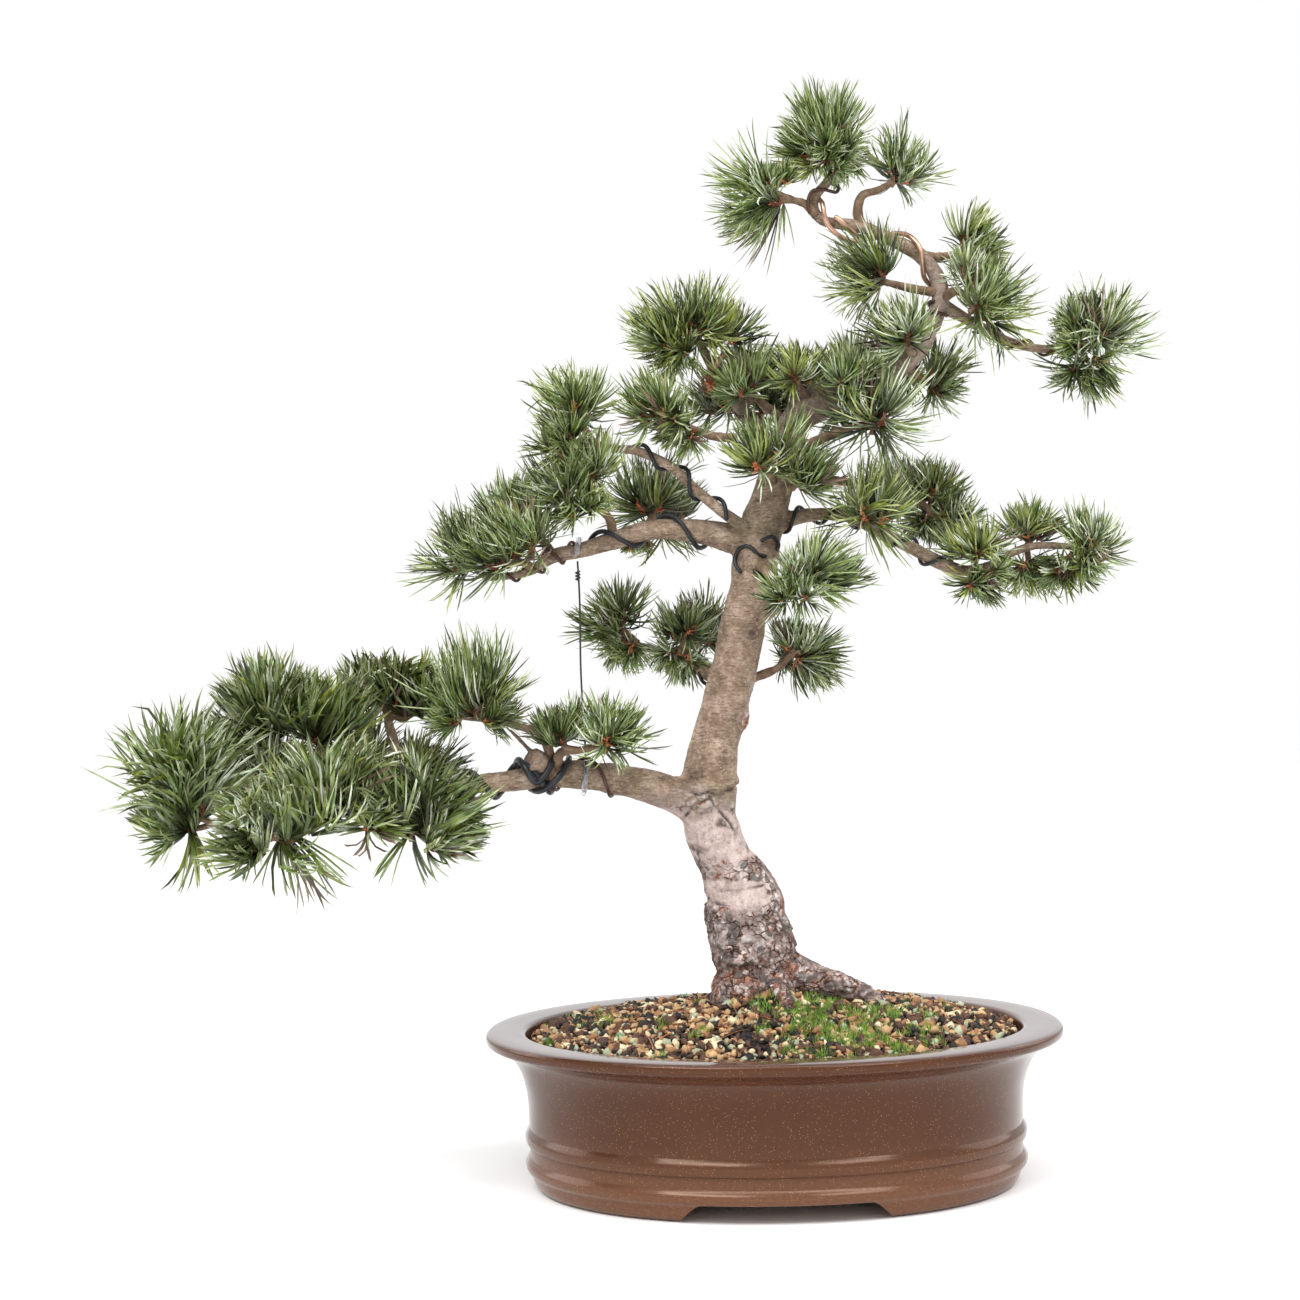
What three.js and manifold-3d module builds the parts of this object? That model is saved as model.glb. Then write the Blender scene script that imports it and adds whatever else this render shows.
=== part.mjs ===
// Japanese white pine grown as a bonsai in an oval stoneware pot.
// Millimetres, +Z up, +X to the right of the front view, +Y away from it.
// The tree is set out from the middle of the pot, at the level of the undersides of its feet.
// The finished plant is then moved so that the middle of its bounding box's underside is the origin.
import * as THREE from "three";
import { ConvexGeometry } from "three/addons/geometries/ConvexGeometry.js";
import { mergeVertices } from "three/addons/utils/BufferGeometryUtils.js";
import Module from "manifold-3d";

const wasm = await Module();
wasm.setup();

// Driving dimensions.
const POT_LENGTH = 400; // over the lip
const POT_WIDTH = 320; // over the lip
const POT_HEIGHT = 108.4;
const OVAL_POWER = 2.1; // a superellipse a little squarer than an ellipse
const LIP_WIDTH = 28;
const FOOT_HEIGHT = 13;
const FOOT_GAP = 116; // between the two feet, at its top
const FLOOR_TOP = 24;
const WALL = 12;
const DRAIN_RADIUS = 11;
const GROUND = 124; // top of the soil mound, where the trunk stands
const SOIL_EDGE = 105; // soil level against the pot's wall
const GRIT_RELIEF = 1.6; // height of the lumps that the grit lies in
const GRIT_PITCH = 27; // spacing of those lumps
const GAP = 0.3; // clearance between neighbouring solids
const SHOOT_RADIUS = 6.4; // the bud that a shoot's needles stand on
const SHOOT_POINTS = 18; // corners of a bud; every face that looks outwards carries a spike
const SPIKE_WIDTH = 5.2; // each spike stands for a bundle of needles

// The tree is drawn as it looks from the front, from an eye at this place.
// A point is [x, z] in the plane of the pot's long axis, and its depth behind that plane.
const EYE = new THREE.Vector3(-80, -1600, 370.6);

// The place at a depth that the eye sees at [x, z].
function seen(x, z, depth) {
  const scale = 1 - depth / EYE.y;
  return new THREE.Vector3(EYE.x + (x - EYE.x) * scale, depth, EYE.z + (z - EYE.z) * scale);
}

// Limbs: a parent and a line of [x, z, depth, radius].
const LIMBS = {
  trunk: {
    parent: null,
    sides: 12,
    line: [
      [-11, 116, 0, 33], [-11, 128, 0, 31.5], [-10, 145, 0, 29], [-12.7, 162, 0, 28.3], [-17.5, 182, -1, 27.5],
      [-19.7, 199, -2, 26.3], [-26, 213, -3, 21.5], [-34, 229, -4, 19.5], [-40.2, 247, -4, 19.3],
      [-42, 262, -3, 19.5], [-41, 278, -2, 19], [-38.5, 295, -1, 17.6], [-30.5, 325, 0, 16.3],
      [-22.5, 352, 0, 16], [-17, 378, 0, 15.7],
      [-11, 402, 0, 15.6], [-6, 426, 0, 15.6], [-2, 448, 0, 15.5], [5, 470, 0, 14.2], [11, 488, 1, 13],
      [17, 508, 2, 12], [24, 526, 2, 11], [37, 540, 0, 10], [57, 549, -2, 8.6], [80, 556, -3, 7.4],
      [100, 565, -3, 6.5], [114, 578, -2, 6.1], [121, 594, -1, 5.9],
    ],
  },
  leader: {
    parent: "trunk",
    sides: 8,
    line: [
      [120.5, 592, -1, 5.7], [126, 604, 0, 5.7], [128, 614, 0, 5.7], [126.5, 624, 0, 5.5], [121, 634, -1, 5.2],
      [113, 642.5, -2, 5.1], [103, 648.5, -2.5, 5], [90, 655, -3, 4.8], [74, 662, -4, 4.4], [58, 664.8, -5, 4.1],
      [47.5, 667, -6, 3.9], [41.8, 673, -7, 3.7], [41, 681, -8, 3.6], [45, 688, -9, 3.3], [51.5, 694, -10.5, 3],
      [55, 703, -12, 2.7],
    ],
  },
  bough_low: {
    parent: "trunk",
    sides: 8,
    line: [
      [-48, 262, -6, 14], [-62, 268, -10, 12.8], [-78, 274, -14, 11.6], [-100, 280, -20, 10.8], [-125, 284, -27, 10],
      [-150, 285.5, -34, 9], [-175, 282, -40, 7.6], [-200, 280, -46, 6.6], [-225, 277, -52, 6], [-250, 272, -58, 5.2],
      [-278, 267, -64, 4.4], [-305, 261, -68, 3.6], [-325, 254, -72, 3],
    ],
  },
  bough_low_rise: {
    parent: "bough_low",
    sides: 6,
    line: [[-236, 274, -55, 4.2], [-250, 288, -44, 4.2], [-259, 308, -34, 3.8], [-264, 326, -28, 3.2]],
  },
  bough_left: {
    parent: "trunk",
    sides: 8,
    line: [
      [-6, 445, 0, 11], [-20, 447, -1, 10.4], [-36, 451, -3, 9.4], [-58, 454, -5, 7.7], [-80, 454, -7, 6.8],
      [-104, 447.5, -9, 6.6], [-125, 441.5, -11, 5.6], [-147, 437, -13, 4.8], [-159, 429, -15, 3.6],
      [-172, 425, -17, 2.8], [-186, 424, -18, 2.4],
    ],
  },
  bough_left_high: {
    parent: "trunk",
    sides: 6,
    line: [
      [-6, 451, -6, 4.6], [-17, 458, -14, 4.3], [-30, 468, -18, 3.9], [-47, 483, -20, 3.6], [-61, 497, -21, 3.5],
      [-75, 505, -22, 3.4], [-90, 510.5, -22, 3.2], [-104, 511, -22, 2.9],
    ],
  },
  bough_right: {
    parent: "trunk",
    sides: 8,
    line: [
      [0, 448, 0, 6.4], [18, 459, 2, 5.4], [38, 462.5, 5, 4.8], [60, 461, 7, 4.6], [76, 453, 8, 4.5],
      [92, 444, 6, 4.6], [108, 435.5, 3, 4.7], [125, 426, 1, 4.6], [141, 421, -1, 4], [158, 424, -3, 3.4],
      [172, 432, -4, 3], [188, 437, -5, 2.8], [205, 437, -5, 2.6], [218, 436, -5, 2.3],
    ],
  },
  bough_right_high: {
    parent: "leader",
    sides: 6,
    line: [
      [127, 607, 2, 4.6], [141, 599, 8, 4.2], [156, 590, 9, 4], [172, 581, 7, 3.6], [190, 575.5, 4, 3.2],
      [208, 573.5, 2, 3], [222, 571, 0, 2.6],
    ],
  },
  bough_crown: {
    parent: "trunk",
    sides: 6,
    line: [
      [16, 508, 3, 6], [0, 523, 10, 5.4], [-14, 539, 12, 5], [-26, 556, 10, 4.5], [-34, 571, 6, 4], [-40, 582, 2, 3.2],
    ],
  },
  bough_back: {
    parent: "trunk",
    sides: 6,
    line: [
      [-24, 350, 6, 6.4], [-38, 353, 24, 6.2], [-50, 360, 33, 5.2], [-60, 366, 37, 3.8], [-76, 369, 41, 2.8],
      [-91, 376, 43, 2.3],
    ],
  },
};

// Masses of foliage. A stem runs from its limb through its points to the first shoot, and the
// other shoots fork from the stem's last point. A shoot is
// [x, z, depth, aim x, aim depth, aim z, needle length, spread in degrees].
const MASSES = {
  far_left: {
    limb: "bough_low", stem: [[-322, 255, -72], [-350, 256, -68], [-384, 257, -74]],
    shoots: [[-405, 268, -80, -0.1, -0.15, 1, 74, 80], [-406, 252, -72, -0.75, -0.2, -0.15, 44, 75]],
  },
  left_crest: {
    limb: "bough_low", stem: [[-284, 266, -64], [-294, 285, -60], [-306, 303, -54]],
    shoots: [[-314, 318, -50, 0.15, -0.1, 1, 50, 80], [-345, 325, -46, -0.3, 0, 0.95, 50, 90]],
  },
  left_front: {
    limb: "bough_low", stem: [[-290, 264, -65], [-296, 261, -80]],
    shoots: [[-302, 262, -92, 0.1, -0.4, 0.9, 58, 95]],
  },
  left_fan: {
    limb: "bough_low", stem: [[-312, 258, -70], [-322, 251, -90]],
    shoots: [[-347, 246, -110, -0.8, -0.35, 0.1, 44, 70], [-334, 244, -102, 0, -0.3, -0.6, 36, 60]],
  },
  left_middle: {
    limb: "bough_low", stem: [[-304, 261, -68], [-320, 266, -50]],
    shoots: [[-350, 270, -46, -0.1, 0.1, 1, 54, 75]],
  },
  left_near: {
    limb: "bough_low", stem: [[-256, 271, -60], [-252, 258, -70]],
    shoots: [[-249, 246, -78, 0, -0.1, 1, 54, 85], [-236, 240, -76, 0.6, -0.25, -0.2, 38, 90]],
  },
  left_top: {
    limb: "bough_low_rise", stem: [[-263, 325, -28], [-264, 330, -27]],
    shoots: [[-267, 337, -25, -0.15, 0, 1, 44, 85], [-250, 328, -24, 0.4, 0.1, 0.9, 42, 80]],
  },
  left_inner: {
    limb: "bough_low_rise", stem: [[-250, 288, -44], [-262, 288, -28]],
    shoots: [[-282, 292, -18, -0.3, 0.3, 0.9, 46, 95], [-244, 284, -22, 0.2, 0.3, 0.9, 38, 85]],
  },
  low_rise: {
    limb: "bough_low", stem: [[-150, 286, -34], [-152, 302, -40], [-156, 313, -43], [-168, 318, -45], [-184, 323, -46]],
    shoots: [[-203, 330, -47, -0.05, -0.1, 1, 60, 85]],
  },
  low_tuft: {
    limb: "bough_low", stem: [[-146, 286, -34], [-144, 300, -50], [-130, 302, -60]],
    shoots: [[-112, 304, -62, 0.15, -0.1, 1, 42, 100], [-142, 309, -60, -0.2, -0.1, 1, 38, 70]],
  },
  left_tip: {
    limb: "bough_left", stem: [[-184, 424, -18], [-194, 425, -19]],
    shoots: [[-202, 430, -20, -0.6, -0.1, 0.7, 46, 95]],
  },
  left_low_pair: {
    limb: "bough_left", stem: [[-160, 428.5, -15], [-166, 433, -24]],
    shoots: [[-179, 433, -32, -0.5, -0.4, 0.75, 46, 85], [-161, 444, -32, -0.5, -0.4, 0.7, 46, 85]],
  },
  left_shoulder: {
    limb: "bough_left", stem: [[-146, 437, -13], [-153, 448, -9], [-163, 456, -5]],
    shoots: [[-173, 462, -2, -0.3, 0.1, 0.95, 40, 95]],
  },
  left_mid: {
    limb: "bough_left", stem: [[-104, 447.5, -9], [-106, 462, -7], [-117, 471, -20]],
    shoots: [[-134, 474, -26, -0.4, -0.2, 0.85, 46, 100], [-119, 492, -32, 0, -0.2, 1, 38, 85]],
  },
  left_back: {
    limb: "bough_left", stem: [[-84, 454, -7], [-80, 458, 12]],
    shoots: [[-74, 466, 26, 0.05, 0.1, 1, 48, 85], [-88, 448, 30, -0.2, 0.3, -0.9, 26, 50],
      [-66, 456, 62, 0, 0.8, 0.5, 44, 90]],
  },
  left_high: {
    limb: "bough_left_high", stem: [[-101, 511, -22], [-114, 515, -22]],
    shoots: [[-126, 534, -20, 0.1, 0, 1, 36, 95], [-132, 514, -26, -0.7, -0.2, 0.5, 34, 85]],
  },
  back_far: {
    limb: "bough_back", stem: [[-89, 375, 43], [-96, 382, 45]],
    shoots: [[-100, 388, 46, -0.3, 0, 0.8, 38, 100], [-96, 380, 44, -0.35, -0.2, -0.85, 38, 80]],
  },
  back_near: {
    limb: "bough_back", stem: [[-54, 362.5, 35], [-56, 371, 30]],
    shoots: [[-57, 377, 28, 0.05, 0.1, 1, 36, 100], [-44, 376, 62, 0.3, 0.8, 0.6, 42, 90],
      [-60, 370, 32, -0.3, -0.1, -0.9, 28, 70]],
  },
  front_right: {
    limb: "trunk", stem: [[-4, 430, -10], [2, 424, -26], [12, 412, -38], [21, 408, -44]],
    shoots: [[32, 417, -46, 0.35, -0.15, 0.85, 46, 95], [15, 405, -50, -0.3, -0.4, -0.2, 34, 75]],
  },
  low_right: {
    limb: "trunk", stem: [[-20, 347, 6], [-1, 352, 16], [10, 357, 18]],
    shoots: [[16, 369, 18, 0.1, 0, 1, 32, 75], [22, 364, 24, 0.9, 0, -0.1, 28, 60],
      [4, 372, 52, 0, 0.8, 0.6, 34, 90]],
  },
  right_near: {
    limb: "bough_right", stem: [[64, 460, 7], [69, 455, -12]],
    shoots: [[74, 456, -26, 0.3, -0.25, 0.9, 50, 100]],
  },
  right_back: {
    limb: "trunk", stem: [[12, 484, 4], [30, 488, 18], [52, 486, 28], [84, 479, 38], [106, 474, 44]],
    shoots: [[118, 473, 46, 0.1, 0.1, 0.95, 38, 90], [129, 456, 46, 0.5, 0.1, 0.4, 30, 90],
      [98, 470, 74, -0.1, 0.8, 0.6, 38, 90], [116, 462, 36, -0.1, 0, -1, 28, 60]],
  },
  right_mid: {
    limb: "bough_right", stem: [[141, 421, -1], [146, 422, -12]],
    shoots: [[148, 429, -18, 0, -0.15, 1, 40, 100], [151, 412, -20, 0.2, -0.3, -0.8, 26, 80]],
  },
  right_pair: {
    limb: "bough_right", stem: [[184, 436, -5], [184, 436, 4]],
    shoots: [[186, 442, 6, 0.1, 0.05, 1, 34, 70], [190, 424, 8, 0.3, 0.1, -0.6, 28, 90]],
  },
  right_tip: {
    limb: "bough_right", stem: [[215, 436, -5], [221, 434, -5]],
    shoots: [[227, 433, -6, 0.2, 0, 0.7, 40, 115]],
  },
  centre_front: {
    limb: "trunk", stem: [[9, 484, 0], [7, 490, -28]],
    shoots: [[5, 499, -50, -0.15, -0.4, 0.85, 52, 105]],
  },
  centre_low: {
    limb: "trunk", stem: [[13, 482, 0], [20, 481, -22]],
    shoots: [[25, 484, -32, 0.6, -0.35, 0.6, 40, 80]],
  },
  centre_right: {
    limb: "trunk", stem: [[20, 515, 0], [34, 512, -18], [50, 518, -25], [66, 523, -30]],
    shoots: [[79, 522, -34, 0.05, -0.1, 1, 56, 115]],
  },
  centre_top: {
    limb: "trunk", stem: [[38, 541, 0], [31, 548, -18]],
    shoots: [[28, 556, -26, 0.05, -0.1, 1, 36, 95]],
  },
  crown_left: {
    limb: "bough_crown", stem: [[-39, 580, 3], [-41, 585, -2]],
    shoots: [[-41, 591, -10, 0.05, -0.2, 1, 44, 90], [-63, 590, -4, -0.75, 0, 0.5, 44, 90],
      [-20, 585, 0, 0.6, 0.1, 0.8, 34, 85]],
  },
  centre_left: {
    limb: "trunk", stem: [[14, 510, 0], [-12, 516, -14], [-34, 519, -24], [-52, 526, -31]],
    shoots: [[-71, 536, -36, -0.4, -0.2, 0.85, 44, 115], [-43, 522, -30, 0.1, -0.1, 0.2, 28, 90]],
  },
  centre_back: {
    limb: "trunk", stem: [[22, 522, 2], [8, 536, 20], [-2, 545, 28]],
    shoots: [[-8, 556, 32, -0.05, 0.2, 1, 36, 100], [-24, 538, 50, -0.5, 0.5, 0.6, 40, 95],
      [6, 536, 62, 0.2, 0.8, 0.5, 42, 90], [-8, 548, -12, -0.5, -0.2, 0.8, 34, 80]],
  },
  centre_right_back: {
    limb: "trunk", stem: [[50, 546.5, -1], [56, 552, 16]],
    shoots: [[62, 558, 26, 0.2, 0.3, 0.95, 34, 100], [54, 540, 48, 0, 0.9, 0.3, 42, 90]],
  },
  apex: {
    limb: "leader", stem: [[54.5, 700, -11.5], [55.7, 713, -14]],
    shoots: [[50, 728, -16, -0.15, -0.05, 1, 41, 112], [58, 713, -10, 0.5, 0.3, 0.3, 30, 95]],
  },
  apex_left: {
    limb: "leader", stem: [[42.5, 671, -7], [36.5, 678, -10], [30, 681, -12]],
    shoots: [[20, 684, -15, -0.95, -0.1, -0.15, 54, 60], [12, 692, -14, -0.5, 0.1, 0.7, 24, 70]],
  },
  apex_right: {
    limb: "leader", stem: [[74, 661.5, -4], [71.5, 673, -4], [75, 684, -4], [86, 687.5, -4]],
    shoots: [[98, 694, -4, 0.3, 0, 0.9, 38, 100]],
  },
  high_right: {
    limb: "leader", stem: [[114.5, 641.5, -1], [126, 640, 4], [134, 641, 8]],
    shoots: [[143, 645, 10, 0.75, 0, 0.55, 42, 85]],
  },
  high_left: {
    limb: "leader", stem: [[126.5, 615, 0], [110, 618, -9], [98, 621, -13]],
    shoots: [[88, 624, -15, -0.85, -0.1, 0.3, 48, 85]],
  },
  right_shoulder: {
    limb: "leader", stem: [[127.5, 610, 0], [139, 616, -10], [145, 612, -15]],
    shoots: [[151, 604, -20, 0.45, -0.25, 0.3, 44, 110], [149, 622, -14, 0.3, 0, 0.95, 26, 75]],
  },
  far_right: {
    limb: "bough_right_high", stem: [[220, 571.5, 0], [226, 573, -2]],
    shoots: [[232, 578, -4, 0.25, -0.15, 0.9, 46, 110], [226, 566, -8, -0.1, -0.3, -0.9, 38, 80],
      [229, 592, -4, 0.05, 0.1, 1, 26, 85]],
  },
  shoulder_left: {
    limb: "trunk", stem: [[110, 574, -2], [105, 574, -18]],
    shoots: [[102, 579, -28, -0.25, -0.25, 0.9, 39, 100]],
  },
  shoulder_back: {
    limb: "trunk", stem: [[104, 568, -3], [108, 560, 14]],
    shoots: [[116, 555, 24, 0.85, 0.1, 0.05, 38, 85], [100, 560, 44, -0.2, 0.9, 0.5, 40, 90]],
  },
};

// Training wires wound on the limbs: the limb, from and to as shares of its length, turns with
// their sense, starting angle in turns from the front, wire radius and how far it stands off the bark.
const WIRES = {
  wire_low: { limb: "bough_low", from: 0.35, to: 0.62, turns: 2, start: 0.43, radius: 2.3, off: 1.3 },
  wire_left: { limb: "bough_left", from: 0.17, to: 0.62, turns: 1.78, start: 0.62, radius: 1.7, off: 1 },
  wire_left_high: { limb: "bough_left_high", from: 0.2, to: 0.92, turns: 2.67, start: 0.91, radius: 1.5, off: 0.8 },
  wire_top: { limb: "leader", from: 0.15, to: 0.71, turns: 1.6, start: 0.49, radius: 1.8, off: 1.6 },
};
const WIRE_STEP = 0.14; // turns between the stations of a wire

// The guy line that pulls the low bough up to the left one.
const GUY = { radius: 0.8, top: [-130, 440], low: [-126.5, 284], limbs: ["bough_left", "bough_low"], tube: 1.6 };

const MATERIALS = {
  clay: new THREE.MeshStandardMaterial({ color: 0x6d4b3a, roughness: 0.55, metalness: 0 }),
  soil: new THREE.MeshStandardMaterial({ color: 0x8a7355, roughness: 0.95, metalness: 0 }),
  bark: new THREE.MeshStandardMaterial({ color: 0x9a8976, roughness: 0.9, metalness: 0 }),
  needles: new THREE.MeshStandardMaterial({ color: 0x4f7048, roughness: 0.6, metalness: 0 }),
  black_wire: new THREE.MeshStandardMaterial({ color: 0x17181a, roughness: 0.5, metalness: 0.4 }),
  copper_wire: new THREE.MeshStandardMaterial({ color: 0x7a5a48, roughness: 0.45, metalness: 0.6 }),
};

// Solids and meshes.

function solidOf(geometry) {
  const plain = new THREE.BufferGeometry().setAttribute("position", geometry.getAttribute("position"));
  plain.setIndex(geometry.index);
  const merged = mergeVertices(plain, 1e-4);
  return new wasm.Manifold(
    new wasm.Mesh({
      numProp: 3,
      vertProperties: merged.attributes.position.array,
      triVerts: new Uint32Array(merged.index.array),
    }),
  );
}

function meshOf(name, solid, material) {
  const { numProp, vertProperties, triVerts } = solid.getMesh();
  const count = vertProperties.length / numProp;
  const position = new Float32Array(count * 3);
  for (let i = 0; i < count; i++) position.set(vertProperties.subarray(i * numProp, i * numProp + 3), i * 3);
  const geometry = new THREE.BufferGeometry().setAttribute("position", new THREE.BufferAttribute(position, 3));
  geometry.setIndex(new THREE.BufferAttribute(triVerts, 1));
  geometry.computeVertexNormals();
  const mesh = new THREE.Mesh(geometry, material);
  mesh.name = name;
  return mesh;
}

// Keeps the largest body of a solid and drops loose scraps.
function largest(solid) {
  return solid.decompose().reduce((a, b) => (a.volume() > b.volume() ? a : b));
}

// A closed skin over rings of points, with the same number in each, capped by a fan at each end.
function loft(rings) {
  const sides = rings[0].length;
  const points = rings.flat();
  const faces = [];
  for (let r = 0; r + 1 < rings.length; r++) {
    for (let i = 0; i < sides; i++) {
      const [a, b] = [r * sides + i, r * sides + ((i + 1) % sides)];
      faces.push(a, b, b + sides, a, b + sides, a + sides);
    }
  }
  const middle = (ring) => ring.reduce((sum, p) => sum.add(p), new THREE.Vector3()).divideScalar(sides);
  const last = (rings.length - 1) * sides;
  points.push(middle(rings[0]), middle(rings[rings.length - 1]));
  for (let i = 0; i < sides; i++) {
    const next = (i + 1) % sides;
    faces.push(next, i, points.length - 2, last + i, last + next, points.length - 1);
  }
  return new THREE.BufferGeometry().setFromPoints(points).setIndex(faces);
}

// A round bar along stations of { at, radius }.
function bar(stations, sides) {
  const curve = new THREE.CatmullRomCurve3(stations.map((s) => s.at));
  const frames = curve.computeFrenetFrames(stations.length - 1, false);
  return loft(
    stations.map(({ at, radius }, k) => {
      const ring = [];
      for (let i = 0; i < sides; i++) {
        const angle = (i / sides) * 2 * Math.PI;
        ring.push(
          at.clone().addScaledVector(frames.normals[k], radius * Math.cos(angle))
            .addScaledVector(frames.binormals[k], radius * Math.sin(angle)),
        );
      }
      return ring;
    }),
  );
}

// Pot: an oval for every half length of its outline.
const OVAL_SIDES = 32;
const WIDTH_STEP = (POT_LENGTH - POT_WIDTH) / 2;

function oval(halfLength, z, sides = OVAL_SIDES) {
  const halfWidth = halfLength - WIDTH_STEP;
  const ring = [];
  for (let i = 0; i < sides; i++) {
    const angle = (i / sides) * 2 * Math.PI;
    const [c, s] = [Math.cos(angle), Math.sin(angle)];
    ring.push(
      new THREE.Vector3(
        halfLength * Math.sign(c) * Math.abs(c) ** (2 / OVAL_POWER),
        halfWidth * Math.sign(s) * Math.abs(s) ** (2 / OVAL_POWER),
        z,
      ),
    );
  }
  return ring;
}

// A rounded rib on the wall, as [half length, height] points.
function rib(z, half, reach = 3.1) {
  const wall = 171;
  return [-1, -0.55, 0.55, 1].map((t) => [wall + reach * Math.sqrt(1 - t * t), z + half * t]);
}

const TOP = POT_LENGTH / 2;
const POT_OUTLINE = [
  [162, 0], [166.4, 2], [169.6, 9],
  ...rib(17.4, 5.2),
  ...rib(36.2, 6),
  [171.6, 58], [173.4, 70], [176, 79], [181, 89.5], [188, 96], [195, 99.2],
  [TOP - 0.8, 101], [TOP, 104], [TOP - 2.4, POT_HEIGHT],
];
const OPENING = TOP - LIP_WIDTH;
const CAVITY = [
  [158, FLOOR_TOP], [171 - WALL, 34], [162, 78], [168, 98], [OPENING, POT_HEIGHT - 2], [OPENING + 2, POT_HEIGHT + 1],
];

function pot() {
  const outside = solidOf(loft(POT_OUTLINE.map(([a, z]) => oval(a, z))));
  const inside = solidOf(loft(CAVITY.map(([a, z]) => oval(a, z))));
  const recess = solidOf(loft([oval(140, -1), oval(140, FOOT_HEIGHT)]));
  return outside.subtract(inside).subtract(recess).subtract(footGap()).subtract(drains());
}

// The gap between the two feet runs from front to back and is narrower at its top.
function footGap() {
  const half = FOOT_GAP / 2;
  const shape = new THREE.Shape([
    new THREE.Vector2(-half - 11, -1), new THREE.Vector2(half + 11, -1), new THREE.Vector2(half + 6, 4),
    new THREE.Vector2(half, FOOT_HEIGHT), new THREE.Vector2(-half, FOOT_HEIGHT), new THREE.Vector2(-half - 6, 4),
  ]);
  return solidOf(new THREE.ExtrudeGeometry(shape, { depth: POT_WIDTH, bevelEnabled: false })
    .translate(0, 0, -POT_WIDTH / 2).rotateX(Math.PI / 2));
}

function drains() {
  const hole = (x) => solidOf(new THREE.CylinderGeometry(DRAIN_RADIUS, DRAIN_RADIUS, 60, 16)
    .rotateX(Math.PI / 2).translate(x, 0, 10));
  return hole(-70).add(hole(70));
}

// Soil: a filling that follows the cavity, with a mound whose flat top carries the trunk.
const MOUND = { x: 12, halfLength: 70, halfWidth: 44, edge: 170 };

function soil() {
  const inside = CAVITY.slice(0, 4).map(([a, z]) => oval(a - GAP, z === FLOOR_TOP ? z + GAP : z));
  const edge = oval(MOUND.edge, SOIL_EDGE);
  const crown = edge.map((_, i) => {
    const angle = (i / OVAL_SIDES) * 2 * Math.PI;
    return new THREE.Vector3(
      MOUND.x + MOUND.halfLength * Math.cos(angle), MOUND.halfWidth * Math.sin(angle), GROUND - GAP);
  });
  const slope = [0.2, 0.4, 0.6, 0.8].map((t) =>
    edge.map((p, i) => {
      const point = p.clone().lerp(crown[i], t);
      point.z = THREE.MathUtils.lerp(SOIL_EDGE, GROUND - GAP, Math.sin((t * Math.PI) / 2)) + lump(point);
      return point;
    }));
  return solidOf(loft([...inside, edge, ...slope, crown]));
}

// The lumps of the grit, as a height over the smooth mound.
function lump({ x, y }) {
  const wave = Math.PI / GRIT_PITCH;
  return -GRIT_RELIEF * (0.5 + 0.5 * Math.sin(x * wave + 1) * Math.sin(y * wave + 0.6 + x * 0.01));
}

// Limbs.
const STEP = 17; // millimetres between the stations of a limb, on the whole

function stations(line, grow = 0, step = STEP) {
  const points = line.map(([x, z, depth]) => seen(x, z, depth));
  const curve = new THREE.CatmullRomCurve3(points, false, "centripetal");
  const spans = points.length - 1;
  const count = Math.max(2, Math.round(curve.getLength() / step));
  const out = [];
  for (let k = 0; k <= count; k++) {
    const u = curve.getUtoTmapping(k / count);
    const span = Math.min(spans - 1, Math.floor(u * spans));
    const radius = THREE.MathUtils.lerp(line[span][3], line[span + 1][3], u * spans - span);
    out.push({ at: curve.getPoint(u), radius: radius + grow });
  }
  return out;
}

// The ground's flat cut, as a block that takes away what lies below it.
const BELOW = solidOf(new THREE.BoxGeometry(600, 400, 100).translate(0, 0, GROUND - 50));

// Surface roots that flare from the trunk's foot, each cut off level with the ground.
const ROOTS = [
  [[-6, 148, -4, 20], [22, 140, -4, 13], [46, 133, -6, 10], [66, 126, -8, 7], [78, 120, -9, 5]],
  [[-8, 150, -6, 18], [2, 136, -24, 11], [10, 127, -40, 6]],
  [[-14, 150, 4, 18], [-30, 134, 20, 11], [-38, 127, 34, 6]],
];

function limb(name, grow = 0) {
  const { line, sides } = LIMBS[name];
  let solid = solidOf(bar(stations(line, grow), sides));
  if (name === "trunk") {
    for (const root of ROOTS) solid = solid.add(solidOf(bar(stations(root, grow, 16), 7)));
    if (!grow) solid = solid.subtract(BELOW);
  }
  return solid;
}

const grown = {};
function cutClear(solid, names) {
  let left = solid;
  for (const name of names) {
    grown[name] ??= limb(name, GAP);
    left = left.subtract(grown[name]);
  }
  return left;
}

// Foliage. A seeded random number, so that the tree grows the same each time.
function seeded(seed) {
  let state = seed;
  return () => {
    state = (Math.imul(state, 1664525) + 1013904223) >>> 0;
    return state / 4294967296;
  };
}

const GOLDEN = Math.PI * (3 - Math.sqrt(5));
const shootsOf = (mass) =>
  mass.shoots.map(([x, z, depth, ax, ay, az, length, spread]) => ({
    at: seen(x, z, depth),
    aim: new THREE.Vector3(ax, ay, az).normalize(),
    length,
    spread: THREE.MathUtils.degToRad(spread),
  }));

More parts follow.
